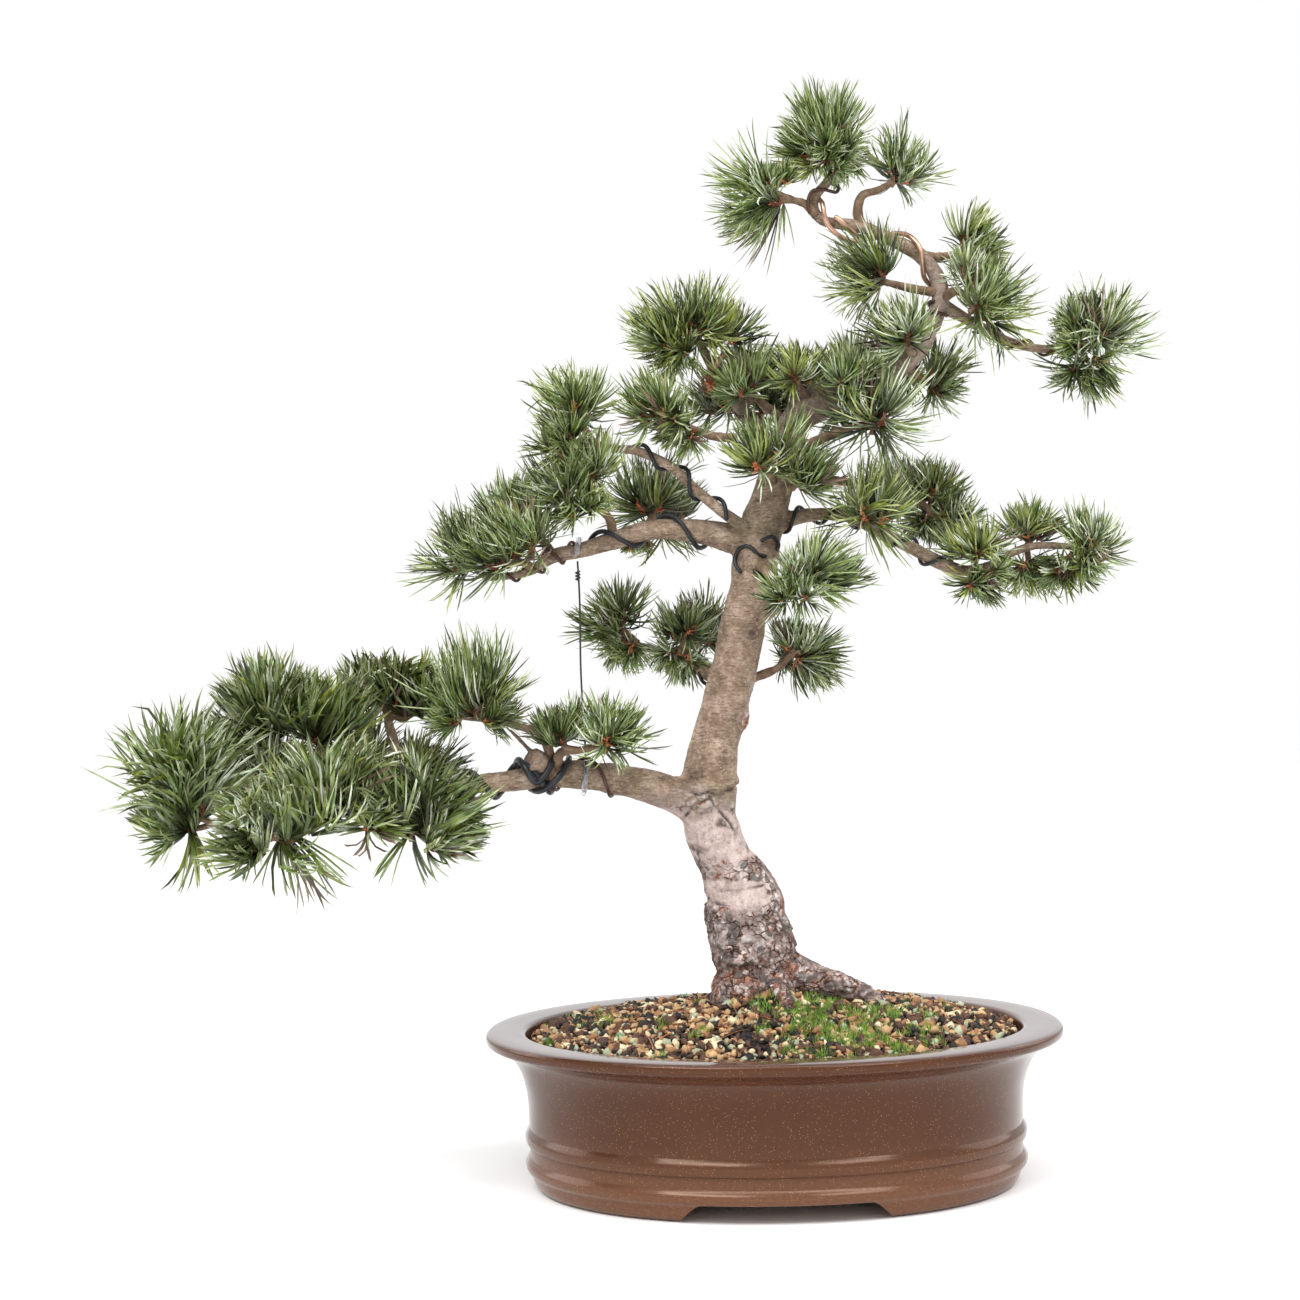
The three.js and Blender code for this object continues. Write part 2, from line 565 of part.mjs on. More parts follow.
// Corners of a bud: a spiral over a ball, turned at random about the shoot's aim.
function budCorners(shoot, random) {
  const side = new THREE.Vector3(0, 1, 0).cross(shoot.aim).normalize();
  const other = new THREE.Vector3().crossVectors(shoot.aim, side);
  const start = random() * 2 * Math.PI;
  return Array.from({ length: SHOOT_POINTS }, (_, i) => {
    const cosine = 1 - (2 * (i + 0.5)) / SHOOT_POINTS;
    const sine = Math.sqrt(1 - cosine * cosine);
    const turn = start + i * GOLDEN;
    return shoot.at.clone().addScaledVector(shoot.aim, SHOOT_RADIUS * cosine)
      .addScaledVector(side, SHOOT_RADIUS * sine * Math.cos(turn))
      .addScaledVector(other, SHOOT_RADIUS * sine * Math.sin(turn));
  });
}

// A shoot: a bud whose outward faces are drawn out into spikes.
function shootSolid(name, shoot, random) {
  const bud = new ConvexGeometry(budCorners(shoot, random)).getAttribute("position");
  const points = [];
  for (let i = 0; i < bud.count; i += 3) {
    const face = [0, 1, 2].map((k) => new THREE.Vector3().fromBufferAttribute(bud, i + k));
    const foot = face.reduce((sum, p) => sum.add(p), new THREE.Vector3()).divideScalar(3);
    const length = shoot.length * (0.88 + 0.14 * random());
    const drift = new THREE.Vector3(random() - 0.5, random() - 0.5, random() - 0.5).multiplyScalar(0.3);
    const direction = foot.clone().sub(shoot.at).normalize().add(drift).normalize();
    const tip = shoot.at.clone().addScaledVector(direction, length);
    if (direction.angleTo(shoot.aim) < shoot.spread && fits(name, shoot, direction, length)) {
      face.forEach((p, k) => points.push(p, face[(k + 1) % 3], tip));
    } else {
      points.push(...face);
    }
  }
  const skin = new THREE.BufferGeometry().setFromPoints(points);
  return solidOf(skin.setIndex(points.map((_, i) => i)));
}

// Every shoot and every stretch of stem or limb, which other masses keep clear of.
const EVERY_SHOOT = Object.entries(MASSES).flatMap(([name, mass]) => shootsOf(mass).map((s) => ({ name, at: s.at })));
const STEM_RADIUS = 2.4;
const TWIG_RADIUS = 2;

function stemLine(mass) {
  const radius = Math.min(STEM_RADIUS + 0.35 * mass.stem.length, 4);
  const first = mass.shoots[0];
  return [...mass.stem, first.slice(0, 3)].map((p, i, all) => [
    ...p.slice(0, 3), THREE.MathUtils.lerp(radius, TWIG_RADIUS, i / (all.length - 1))]);
}

const BARS = [
  ...Object.entries(LIMBS).map(([name, { line }]) => {
    const wired = Object.values(WIRES).find((w) => w.limb === name);
    return { name, nodes: stations(line, wired ? 2 * wired.radius + wired.off : 0) };
  }),
  { name: "guy_line", nodes: [GUY.top, GUY.low].map(([x, z], k) => ({ at: seen(x, z, k ? -40 : -12), radius: 3 })) },
  ...ROOTS.map((root) => ({ name: "trunk", nodes: stations(root, 0, 16) })),
  ...Object.entries(MASSES).flatMap(([name, mass]) => {
    const fork = mass.stem[mass.stem.length - 1];
    const sides = mass.shoots.slice(1).map((s) => [[...fork, STEM_RADIUS], [...s.slice(0, 3), STEM_RADIUS]]);
    return [stemLine(mass), ...sides].map((line) => ({ name, nodes: stations(line, 0, 8) }));
  }),
];

function distanceToSegment(point, a, b) {
  const along = b.clone().sub(a);
  const share = THREE.MathUtils.clamp(point.clone().sub(a).dot(along) / along.lengthSq(), 0, 1);
  return point.distanceTo(a.clone().addScaledVector(along, share));
}

// Whether a spike keeps to its own mass's space and touches no limb or foreign stem.
function fits(name, shoot, direction, length) {
  return [0.14, 0.26, 0.38, 0.5, 0.62, 0.74, 0.87, 1].every((share) => {
    const point = shoot.at.clone().addScaledVector(direction, length * share);
    const width = SPIKE_WIDTH * 0.5 * (1 - share);
    const free = EVERY_SHOOT.every((other) => {
      if (other.name === name) return true;
      const apart = other.at.distanceTo(shoot.at);
      const towards = other.at.distanceToSquared(point) - shoot.at.distanceToSquared(point);
      return towards / (2 * apart) > width + GAP;
    });
    return free && BARS.every(({ name: owner, nodes }) => {
      if (owner === name || (owner === MASSES[name].limb && share < 0.4)) return true;
      return nodes.slice(1).every(({ at, radius }, k) =>
        distanceToSegment(point, nodes[k].at, at) > Math.max(radius, nodes[k].radius) + width + GAP);
    });
  });
}

function foliage(name) {
  const mass = MASSES[name];
  const random = seeded(11 + Object.keys(MASSES).indexOf(name) * 97);
  const shoots = shootsOf(mass);
  const fork = mass.stem[mass.stem.length - 1];
  const solids = [solidOf(bar(stations(stemLine(mass), 0, 15), 4))];
  shoots.forEach((shoot, k) => {
    if (k) {
      const line = [[...fork, TWIG_RADIUS], [...mass.shoots[k].slice(0, 3), TWIG_RADIUS]];
      solids.push(solidOf(bar(stations(line, 0, 25), 4)));
    }
    solids.push(shootSolid(name, shoot, random));
  });
  const whole = wasm.Manifold.union(solids);
  return largest(cutClear(whole, [mass.limb])).simplify(0.05);
}

// Wires.
function wire({ limb: name, from, to, turns, start, radius, off }) {
  const nodes = stations(LIMBS[name].line, 0, 3);
  const curve = new THREE.CatmullRomCurve3(nodes.map((n) => n.at));
  const count = Math.round(Math.abs(turns) / WIRE_STEP);
  const path = [];
  for (let k = 0; k <= count; k++) {
    const share = THREE.MathUtils.lerp(from, to, k / count);
    const along = curve.getTangentAt(share);
    const front = new THREE.Vector3(0, -1, 0).projectOnPlane(along).normalize();
    const angle = 2 * Math.PI * (start + (turns * k) / count);
    const limbRadius = nodes[Math.round(share * (nodes.length - 1))].radius;
    const reach = limbRadius + radius + off;
    path.push({
      at: curve.getPointAt(share).addScaledVector(front, reach * Math.cos(angle))
        .addScaledVector(along.cross(front), reach * Math.sin(angle)),
      radius,
    });
  }
  return solidOf(bar(path, 5));
}

// The guy line: a straight length between two tube rings that go round their limbs.
function guy() {
  const rings = GUY.limbs.map((name, k) => {
    const [x, z] = k ? GUY.low : GUY.top;
    const nodes = stations(LIMBS[name].line, 0, 3);
    const target = seen(x, z, nodes[Math.round(nodes.length / 2)].at.y);
    const near = nodes.reduce((a, b) =>
      Math.abs(a.at.x - target.x) < Math.abs(b.at.x - target.x) ? a : b);
    const reach = near.radius + GUY.tube + 4 * GAP;
    return { at: near.at, reach };
  });
  const ring = ({ at, reach }) => solidOf(new THREE.TorusGeometry(reach, GUY.tube, 5, 12)
    .rotateY(Math.PI / 2).translate(at.x, at.y, at.z));
  const [high, low] = rings;
  const line = bar([
    { at: high.at.clone().add(new THREE.Vector3(0, 0, -high.reach)), radius: GUY.radius },
    { at: low.at.clone().add(new THREE.Vector3(0, -low.reach, 3)), radius: GUY.radius },
    { at: low.at.clone().add(new THREE.Vector3(0, -low.reach, 0)), radius: GUY.radius },
  ], 5);
  return wasm.Manifold.union([ring(high), ring(low), solidOf(line)]);
}

// The whole plant.
const group = new THREE.Group();
group.add(meshOf("pot", pot(), MATERIALS.clay));
group.add(meshOf("soil", soil(), MATERIALS.soil));
Object.keys(LIMBS).forEach((name, i, all) => {
  group.add(meshOf(name, largest(cutClear(limb(name), all.slice(0, i))), MATERIALS.bark));
});
for (const name of Object.keys(MASSES)) group.add(meshOf(name, foliage(name), MATERIALS.needles));
for (const [name, form] of Object.entries(WIRES)) {
  const material = name === "wire_top" ? MATERIALS.copper_wire : MATERIALS.black_wire;
  group.add(meshOf(name, wire(form), material));
}
group.add(meshOf("guy_line", guy(), MATERIALS.black_wire));

// The middle of the bounding box's underside becomes the origin.
const box = new THREE.Box3().setFromObject(group);
const middle = box.getCenter(new THREE.Vector3());
for (const mesh of group.children) mesh.geometry.translate(-middle.x, -middle.y, -box.min.z);

export default group;
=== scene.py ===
import itertools
import math

import bpy
import numpy as np
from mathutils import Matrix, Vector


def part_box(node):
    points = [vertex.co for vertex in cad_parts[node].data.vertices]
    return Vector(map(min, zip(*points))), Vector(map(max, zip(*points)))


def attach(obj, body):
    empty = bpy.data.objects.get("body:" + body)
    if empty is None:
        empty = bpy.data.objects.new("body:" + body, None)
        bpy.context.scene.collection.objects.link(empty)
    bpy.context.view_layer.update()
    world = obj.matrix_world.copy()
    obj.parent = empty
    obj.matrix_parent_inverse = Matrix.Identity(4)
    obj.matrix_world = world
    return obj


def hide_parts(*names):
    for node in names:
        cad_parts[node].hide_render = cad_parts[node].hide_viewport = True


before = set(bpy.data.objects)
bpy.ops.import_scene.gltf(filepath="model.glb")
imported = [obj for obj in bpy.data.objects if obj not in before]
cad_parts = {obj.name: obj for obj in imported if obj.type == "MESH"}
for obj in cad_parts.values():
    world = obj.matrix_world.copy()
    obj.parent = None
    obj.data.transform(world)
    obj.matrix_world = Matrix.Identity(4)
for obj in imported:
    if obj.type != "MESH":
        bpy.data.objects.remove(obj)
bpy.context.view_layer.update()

# The plant is set out in millimetres from the middle of the pot, as its solids are.
pot_low, pot_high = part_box("pot")
SHIFT = np.array([(pot_low[0] + pot_high[0]) * 500, (pot_low[1] + pot_high[1]) * 500, 0.0])
EYE = np.array([-80.0, -1600.0, 370.6])
IMAGE_PX = 1300
FOCAL_PX = 1600 / 0.697  # for an image so many pixels wide
SENSOR = 36.0  # millimetres
ROLL = math.radians(1.27)


def seen(x, z, depth):
    """The place at a depth that the eye sees at [x, z] in the plane of the pot's long axis."""
    scale = 1 - depth / EYE[1]
    return np.array([EYE[0] + (x - EYE[0]) * scale, depth, EYE[2] + (z - EYE[2]) * scale])


# Limbs, each a line of [x, z, depth, radius].
LIMBS = {
    "trunk":
        [[-11, 116, 0, 33], [-11, 128, 0, 31.5], [-10, 145, 0, 29], [-12.7, 162, 0, 28.3],
         [-17.5, 182, -1, 27.5], [-19.7, 199, -2, 26.3], [-26, 213, -3, 21.5], [-34, 229, -4, 19.5],
         [-40.2, 247, -4, 19.3], [-42, 262, -3, 19.5], [-41, 278, -2, 19], [-38.5, 295, -1, 17.6],
         [-30.5, 325, 0, 16.3], [-22.5, 352, 0, 16], [-17, 378, 0, 15.7], [-11, 402, 0, 15.6],
         [-6, 426, 0, 15.6], [-2, 448, 0, 15.5], [5, 470, 0, 14.2], [11, 488, 1, 13], [17, 508, 2, 12],
         [24, 526, 2, 11], [37, 540, 0, 10], [57, 549, -2, 8.6], [80, 556, -3, 7.4], [100, 565, -3, 6.5],
         [114, 578, -2, 6.1], [121, 594, -1, 5.9]],
    "leader":
        [[120.5, 592, -1, 5.7], [126, 604, 0, 5.7], [128, 614, 0, 5.7], [126.5, 624, 0, 5.5],
         [121, 634, -1, 5.2], [113, 642.5, -2, 5.1], [103, 648.5, -2.5, 5], [90, 655, -3, 4.8],
         [74, 662, -4, 4.4], [58, 664.8, -5, 4.1], [47.5, 667, -6, 3.9], [41.8, 673, -7, 3.7],
         [41, 681, -8, 3.6], [45, 688, -9, 3.3], [51.5, 694, -10.5, 3], [55, 703, -12, 2.7]],
    "bough_low":
        [[-48, 262, -6, 14], [-62, 268, -10, 12.8], [-78, 274, -14, 11.6], [-100, 280, -20, 10.8],
         [-125, 284, -27, 10], [-150, 285.5, -34, 9], [-175, 282, -40, 7.6], [-200, 280, -46, 6.6],
         [-225, 277, -52, 6], [-250, 272, -58, 5.2], [-278, 267, -64, 4.4], [-305, 261, -68, 3.6],
         [-325, 254, -72, 3]],
    "bough_low_rise":
        [[-236, 274, -55, 4.2], [-250, 288, -44, 4.2], [-259, 308, -34, 3.8], [-264, 326, -28, 3.2]],
    "bough_left":
        [[-6, 445, 0, 11], [-20, 447, -1, 10.4], [-36, 451, -3, 9.4], [-58, 454, -5, 7.7],
         [-80, 454, -7, 6.8], [-104, 447.5, -9, 6.6], [-125, 441.5, -11, 5.6], [-147, 437, -13, 4.8],
         [-159, 429, -15, 3.6], [-172, 425, -17, 2.8], [-186, 424, -18, 2.4]],
    "bough_left_high":
        [[-6, 451, -6, 4.6], [-17, 458, -14, 4.3], [-30, 468, -18, 3.9], [-47, 483, -20, 3.6],
         [-61, 497, -21, 3.5], [-75, 505, -22, 3.4], [-90, 510.5, -22, 3.2], [-104, 511, -22, 2.9]],
    "bough_right":
        [[0, 448, 0, 6.4], [18, 459, 2, 5.4], [38, 462.5, 5, 4.8], [60, 461, 7, 4.6], [76, 453, 8, 4.5],
         [92, 444, 6, 4.6], [108, 435.5, 3, 4.7], [125, 426, 1, 4.6], [141, 421, -1, 4],
         [158, 424, -3, 3.4], [172, 432, -4, 3], [188, 437, -5, 2.8], [205, 437, -5, 2.6],
         [218, 436, -5, 2.3]],
    "bough_right_high":
        [[127, 607, 2, 4.6], [141, 599, 8, 4.2], [156, 590, 9, 4], [172, 581, 7, 3.6], [190, 575.5, 4, 3.2],
         [208, 573.5, 2, 3], [222, 571, 0, 2.6]],
    "bough_crown":
        [[16, 508, 3, 6], [0, 523, 10, 5.4], [-14, 539, 12, 5], [-26, 556, 10, 4.5], [-34, 571, 6, 4],
         [-40, 582, 2, 3.2]],
    "bough_back":
        [[-24, 350, 6, 6.4], [-38, 353, 24, 6.2], [-50, 360, 33, 5.2], [-60, 366, 37, 3.8],
         [-76, 369, 41, 2.8], [-91, 376, 43, 2.3]],
}

# Masses: the stem's places, then the shoots as [x, z, depth, aim x, y and z, length, spread in degrees].
MASSES = {
    "far_left": (
        [[-322, 255, -72], [-350, 256, -68], [-384, 257, -74]],
        [[-401, 262, -80, -0.12, -0.15, 1, 79, 41], [-402, 254, -72, -0.5, -0.25, 0.2, 40, 76]]),
    "left_crest": (
        [[-284, 266, -64], [-294, 285, -60], [-306, 303, -54]],
        [[-312, 312, -50, 0.15, -0.1, 1, 52, 66], [-343, 315, -46, -0.3, 0, 0.95, 60, 62]]),
    "left_front": (
        [[-290, 264, -65], [-296, 261, -80]],
        [[-302, 260, -92, 0.05, -0.4, 0.9, 60, 84], [-281, 257, -86, 0.5, -0.5, 0.15, 32, 80]]),
    "left_fan": (
        [[-312, 258, -70], [-322, 251, -90]],
        [[-347, 246, -110, -0.8, -0.35, 0.2, 44, 70], [-333, 245, -102, 0.05, -0.25, 1, 52, 66]]),
    "left_middle": (
        [[-304, 261, -68], [-320, 266, -50]],
        [[-350, 270, -46, -0.1, 0.1, 1, 54, 75]]),
    "left_near": (
        [[-256, 271, -60], [-252, 258, -70]],
        [[-249, 246, -78, 0, -0.1, 1, 62, 66], [-236, 242, -76, 0.8, -0.3, -0.05, 36, 62]]),
    "left_top": (
        [[-263, 325, -28], [-264, 330, -27]],
        [[-267, 337, -25, -0.05, 0, 1, 39, 80], [-250, 328, -24, 0.4, 0.1, 0.9, 42, 80]]),
    "left_inner": (
        [[-250, 288, -44], [-262, 288, -28]],
        [[-282, 292, -18, -0.3, 0.3, 0.9, 46, 95], [-244, 284, -22, 0.2, 0.3, 0.9, 38, 85]]),
    "low_rise": (
        [[-150, 286, -34], [-152, 302, -40], [-156, 313, -43], [-168, 318, -45], [-184, 323, -46]],
        [[-203, 330, -47, -0.05, -0.1, 1, 62, 70], [-197, 328, -48, 0.85, -0.2, 0.05, 30, 60],
         [-214, 327, -46, -0.7, -0.2, 0, 26, 60]]),
    "low_tuft": (
        [[-146, 286, -34], [-144, 300, -50], [-130, 302, -60]],
        [[-112, 304, -62, 0.15, -0.1, 1, 42, 100], [-142, 307, -60, -0.3, -0.1, 1, 30, 70]]),
    "left_tip": (
        [[-184, 424, -18], [-194, 425, -19]],
        [[-202, 432, -20, -0.75, -0.1, 0.62, 48, 88]]),
    "left_low_pair": (
        [[-160, 428.5, -15], [-166, 433, -24]],
        [[-179, 433, -32, -0.5, -0.4, 0.75, 46, 85], [-161, 444, -32, -0.5, -0.4, 0.7, 46, 85]]),
    "left_shoulder": (
        [[-146, 437, -13], [-153, 448, -9], [-163, 456, -5]],
        [[-173, 462, -2, -0.3, 0.1, 0.95, 40, 95]]),
    "left_mid": (
        [[-104, 447.5, -9], [-106, 462, -7], [-117, 471, -20]],
        [[-134, 474, -26, -0.4, -0.2, 0.85, 46, 100], [-119, 492, -32, 0, -0.2, 1, 38, 85],
         [-124, 469, -30, -0.1, -0.6, 0.3, 24, 80]]),
    "left_back": (
        [[-84, 454, -7], [-80, 458, 12]],
        [[-76, 466, 26, -0.12, 0.1, 1, 48, 85], [-88, 452, 30, -0.2, 0.3, -0.9, 14, 50],
         [-66, 456, 62, 0, 0.8, 0.5, 44, 90]]),
    "left_high": (
        [[-101, 511, -22], [-114, 515, -22]],
        [[-127, 534, -20, -0.05, 0, 1, 42, 90], [-132, 514, -26, -0.7, -0.2, 0.5, 34, 85]]),
    "back_far": (
        [[-89, 375, 43], [-96, 382, 45]],
        [[-100, 386, 46, -0.5, 0, 0.65, 40, 92], [-96, 380, 44, -0.5, -0.2, -0.6, 32, 70]]),
    "back_near": (
        [[-54, 362.5, 35], [-56, 371, 30]],
        [[-57, 377, 28, 0.05, 0.1, 1, 32, 100], [-44, 376, 62, 0.3, 0.8, 0.6, 42, 90],
         [-60, 370, 32, -0.3, -0.1, -0.9, 28, 70]]),
    "front_right": (
        [[-4, 430, -10], [2, 424, -26], [12, 412, -38], [21, 408, -44]],
        [[34, 415, -46, 0.75, -0.15, 0.6, 44, 82], [22, 408, -50, -0.2, -0.5, 0.1, 30, 80]]),
    "low_right": (
        [[-20, 347, 6], [-1, 352, 16], [10, 357, 18]],
        [[20, 367, 18, 0.4, 0, 0.9, 26, 65], [23, 364, 24, 0.85, 0, -0.55, 38, 42],
         [16, 366, 50, 0.6, 0.8, 0.2, 26, 70]]),
    "right_near": (
        [[64, 460, 7], [69, 455, -12]],
        [[74, 456, -26, 0.3, -0.25, 0.9, 50, 100]]),
    "right_back": (
        [[12, 484, 4], [30, 488, 18], [52, 486, 28], [84, 479, 38], [106, 474, 44]],
        [[118, 471, 46, 0.1, 0.1, 0.95, 36, 90], [129, 456, 46, 0.5, 0.1, 0.4, 30, 90],
         [98, 470, 74, -0.1, 0.8, 0.6, 38, 90], [116, 462, 36, -0.1, 0, -1, 28, 60]]),
    "right_mid": (
        [[141, 421, -1], [146, 422, -12]],
        [[148, 429, -18, 0, -0.15, 1, 36, 92], [150, 416, -20, 0.2, -0.4, -0.5, 27, 80]]),
    "right_pair": (
        [[184, 436, -5], [184, 436, 4]],
        [[186, 441, 6, 0.1, 0.05, 1, 32, 75], [185, 426, 8, 0, 0.1, -0.7, 34, 85]]),
    "right_tip": (
        [[215, 436, -5], [221, 434, -5]],
        [[226, 432, -6, 0.25, 0, 0.4, 35, 112], [214, 427, -4, 0.2, -0.2, -0.7, 31, 80]]),
    "centre_front": (
        [[9, 484, 0], [7, 490, -28]],
        [[3, 495, -46, -0.25, -0.35, 0.85, 44, 100]]),
    "centre_low": (
        [[13, 482, 0], [20, 481, -22]],
        [[25, 484, -32, 0.6, -0.35, 0.6, 40, 80]]),
    "centre_right": (
        [[20, 515, 0], [34, 512, -18], [50, 518, -25], [66, 523, -30]],
        [[79, 522, -34, 0.05, -0.1, 1, 56, 115], [64, 552, -30, 0, -0.5, 0.8, 34, 90]]),
    "centre_top": (
        [[38, 541, 0], [31, 548, -18]],
        [[28, 554, -26, 0.05, -0.1, 1, 33, 95]]),
    "crown_left": (
        [[-39, 580, 3], [-41, 585, -2]],
        [[-41, 589, -14, 0, -0.35, 1, 45, 112], [-58, 586, -10, -0.85, -0.1, 0.25, 44, 90],
         [-28, 584, -4, 0.3, 0, 1, 32, 60], [-54, 581, -12, -0.4, -0.3, -0.4, 26, 85]]),
    "centre_left": (
        [[14, 510, 0], [-12, 516, -14], [-34, 519, -24], [-52, 526, -31]],
        [[-70, 532, -36, -0.3, -0.2, 0.7, 39, 112], [-52, 527, -30, -0.3, -0.2, -0.3, 27, 95]]),
    "centre_back": (
        [[22, 522, 2], [8, 536, 20], [-2, 545, 28]],
        [[-8, 556, 32, -0.05, 0.2, 1, 36, 100], [-24, 538, 50, -0.5, 0.5, 0.6, 40, 95],
         [6, 536, 62, 0.2, 0.8, 0.5, 42, 90], [-8, 548, -12, -0.5, -0.2, 0.8, 34, 80]]),
    "centre_right_back": (
        [[50, 546.5, -1], [56, 552, 16]],
        [[62, 558, 26, 0.2, 0.3, 0.95, 34, 100], [54, 540, 48, 0, 0.9, 0.3, 42, 90]]),
    "apex": (
        [[54.5, 700, -11.5], [55.7, 713, -14]],
        [[52, 724, -16, -0.05, -0.05, 1, 44, 100], [57, 713, -12, 0.6, 0, 0.3, 28, 95],
         [47, 716, -14, -0.8, -0.2, 0.5, 38, 55], [50, 711, -18, -0.1, -0.5, -0.4, 24, 85]]),
    "apex_left": (
        [[42.5, 671, -7], [36.5, 678, -10], [30, 681, -12]],
        [[17, 682, -15, -0.95, -0.1, -0.3, 57, 52], [14, 690, -14, -0.2, 0.1, 0.8, 20, 60]]),
    "apex_right": (
        [[74, 661.5, -4], [71.5, 673, -4], [75, 684, -4], [86, 687.5, -4]],
        [[98, 694, -4, 0.6, 0, 0.75, 40, 88]]),
    "high_right": (
        [[114.5, 641.5, -1], [126, 640, 4], [134, 641, 8]],
        [[144, 643, 10, 0.85, 0, 0.35, 38, 85]]),
    "high_left": (
        [[126.5, 615, 0], [110, 618, -9], [98, 621, -13]],
        [[88, 624, -15, -0.9, -0.1, 0.4, 48, 68]]),
    "right_shoulder": (
        [[127.5, 610, 0], [139, 616, -10], [145, 612, -15]],
        [[152, 602, -20, 0.7, -0.25, 0.15, 50, 98], [149, 622, -14, 0.3, 0, 0.95, 26, 75]]),
    "far_right": (
        [[220, 571.5, 0], [226, 573, -2]],
        [[237, 578, -4, 0.45, -0.15, 0.9, 48, 106], [228, 566, -8, 0.1, -0.3, -0.9, 38, 70],
         [226, 588, -4, -0.2, 0.1, 1, 28, 80], [226, 580, -6, -0.9, -0.2, 0.2, 26, 70]]),
    "shoulder_left": (
        [[110, 574, -2], [105, 574, -18]],
        [[102, 579, -28, -0.25, -0.25, 0.9, 39, 100]]),
    "shoulder_back": (
        [[104, 568, -3], [108, 560, 14]],
        [[118, 553, 24, 0.85, 0.1, -0.1, 36, 80], [100, 560, 44, -0.2, 0.9, 0.5, 40, 90]]),
}

# Limbs too small to have solids of their own: cut stubs, the burl and the small side twigs.
SMALL_LIMBS = [
    [[-150, 286, -34, 8], [-158, 292, -40, 8.6], [-165, 296, -45, 8.8]],
    [[-20, 548, 11, 5], [-27, 558, 6, 4.6]],
    [[-32, 352, 20, 6], [-46, 357, 26, 6.2]],
    [[26, 532, 0, 12.5], [40, 540, -1, 13], [52, 546, -2, 11]],
    [[-150, 286, -34, 2], [-162, 299, -38, 1.5], [-176, 314, -40, 1.3], [-186, 323, -41, 1]],
    [[-4, 430, -8, 7], [-9, 431, -19, 5.8]],
    [[-8, 378, -8, 4.5], [-6, 380, -17, 3.4]],
]

ROOTS = [
    [[-6, 148, -4, 20], [22, 140, -4, 13], [46, 133, -6, 10], [66, 126, -8, 7], [78, 120, -9, 5]],
    [[-8, 150, -6, 18], [2, 132, -22, 11], [10, 122, -38, 6]],
    [[-14, 150, 4, 18], [-30, 134, 20, 11], [-38, 127, 34, 6]],
    [[2, 132, -28, 9], [8, 127, -42, 6], [12, 119, -56, 4]],
]

RNG = np.random.default_rng(20)
UP = np.array([0.0, 0.0, 1.0])
FRONT = np.array([0.0, -1.0, 0.0])


# Small vector helpers.

def unit(v):
    return v / np.maximum(np.linalg.norm(v, axis=-1, keepdims=True), 1e-9)


def smooth_line(points, step):
    """Even stations along a smooth line through points; every column is carried along."""
    points = np.asarray(points, float)
    chord = np.linalg.norm(np.diff(points[:, :3], axis=0), axis=1)
    knots = np.concatenate([[0], np.cumsum(np.sqrt(np.maximum(chord, 1e-6)))])
    slopes = np.gradient(points, knots, axis=0)
    samples = []
    for k in range(len(points) - 1):
        width = knots[k + 1] - knots[k]
        t = np.linspace(0, 1, 24, endpoint=k == len(points) - 2)[:, None]
        samples.append(
            (2 * t**3 - 3 * t**2 + 1) * points[k] + (t**3 - 2 * t**2 + t) * width * slopes[k]
            + (-2 * t**3 + 3 * t**2) * points[k + 1] + (t**3 - t**2) * width * slopes[k + 1]
        )
    line = np.vstack(samples)
    along = np.concatenate([[0], np.cumsum(np.linalg.norm(np.diff(line[:, :3], axis=0), axis=1))])
    even = np.linspace(0, along[-1], max(3, int(round(along[-1] / step)) + 1))
    return np.stack([np.interp(even, along, line[:, c]) for c in range(line.shape[1])], 1)


def frames_along(line):
    """Two crosswise directions along a line that turn as little as they can."""
    tangent = unit(np.gradient(line, axis=0))
    side = np.zeros_like(line)
    start = np.cross(tangent[0], [0.0, 1.0, 0.0])
    if np.linalg.norm(start) < 0.2:
        start = np.cross(tangent[0], [1.0, 0.0, 0.0])
    side[0] = unit(start)
    for k in range(1, len(line)):
        side[k] = unit(side[k - 1] - tangent[k] * np.dot(side[k - 1], tangent[k]))
    return side, np.cross(tangent, side)


def rings_to_faces(rings, sides):
    """Triangles over rings of vertices, with a fan at each end around the two last vertices."""
    r, i = np.meshgrid(np.arange(rings - 1), np.arange(sides), indexing="ij")
    a, b = r * sides + i, r * sides + (i + 1) % sides
    quads = np.stack([a, b, b + sides, a, b + sides, a + sides], -1).reshape(-1, 3)
    i = np.arange(sides)
    low, high = rings * sides, rings * sides + 1
    last = (rings - 1) * sides
    bottom = np.stack([(i + 1) % sides, i, np.full(sides, low)], 1)
    top = np.stack([last + i, last + (i + 1) % sides, np.full(sides, high)], 1)
    return np.vstack([quads, bottom, top])


def circle(count):
    """Even angles round a full turn."""
    return np.arange(count) / count * 2 * np.pi


def tube(line, radii, sides):
    """Vertices and triangles of a round bar along a line."""
    side, other = frames_along(line)
    angle = circle(sides)
    ring = side[:, None] * np.cos(angle)[None, :, None] + other[:, None] * np.sin(angle)[None, :, None]
    verts = line[:, None] + ring * np.asarray(radii)[:, None, None]
    verts = np.vstack([verts.reshape(-1, 3), line[0], line[-1]])
    return verts, rings_to_faces(len(line), sides)


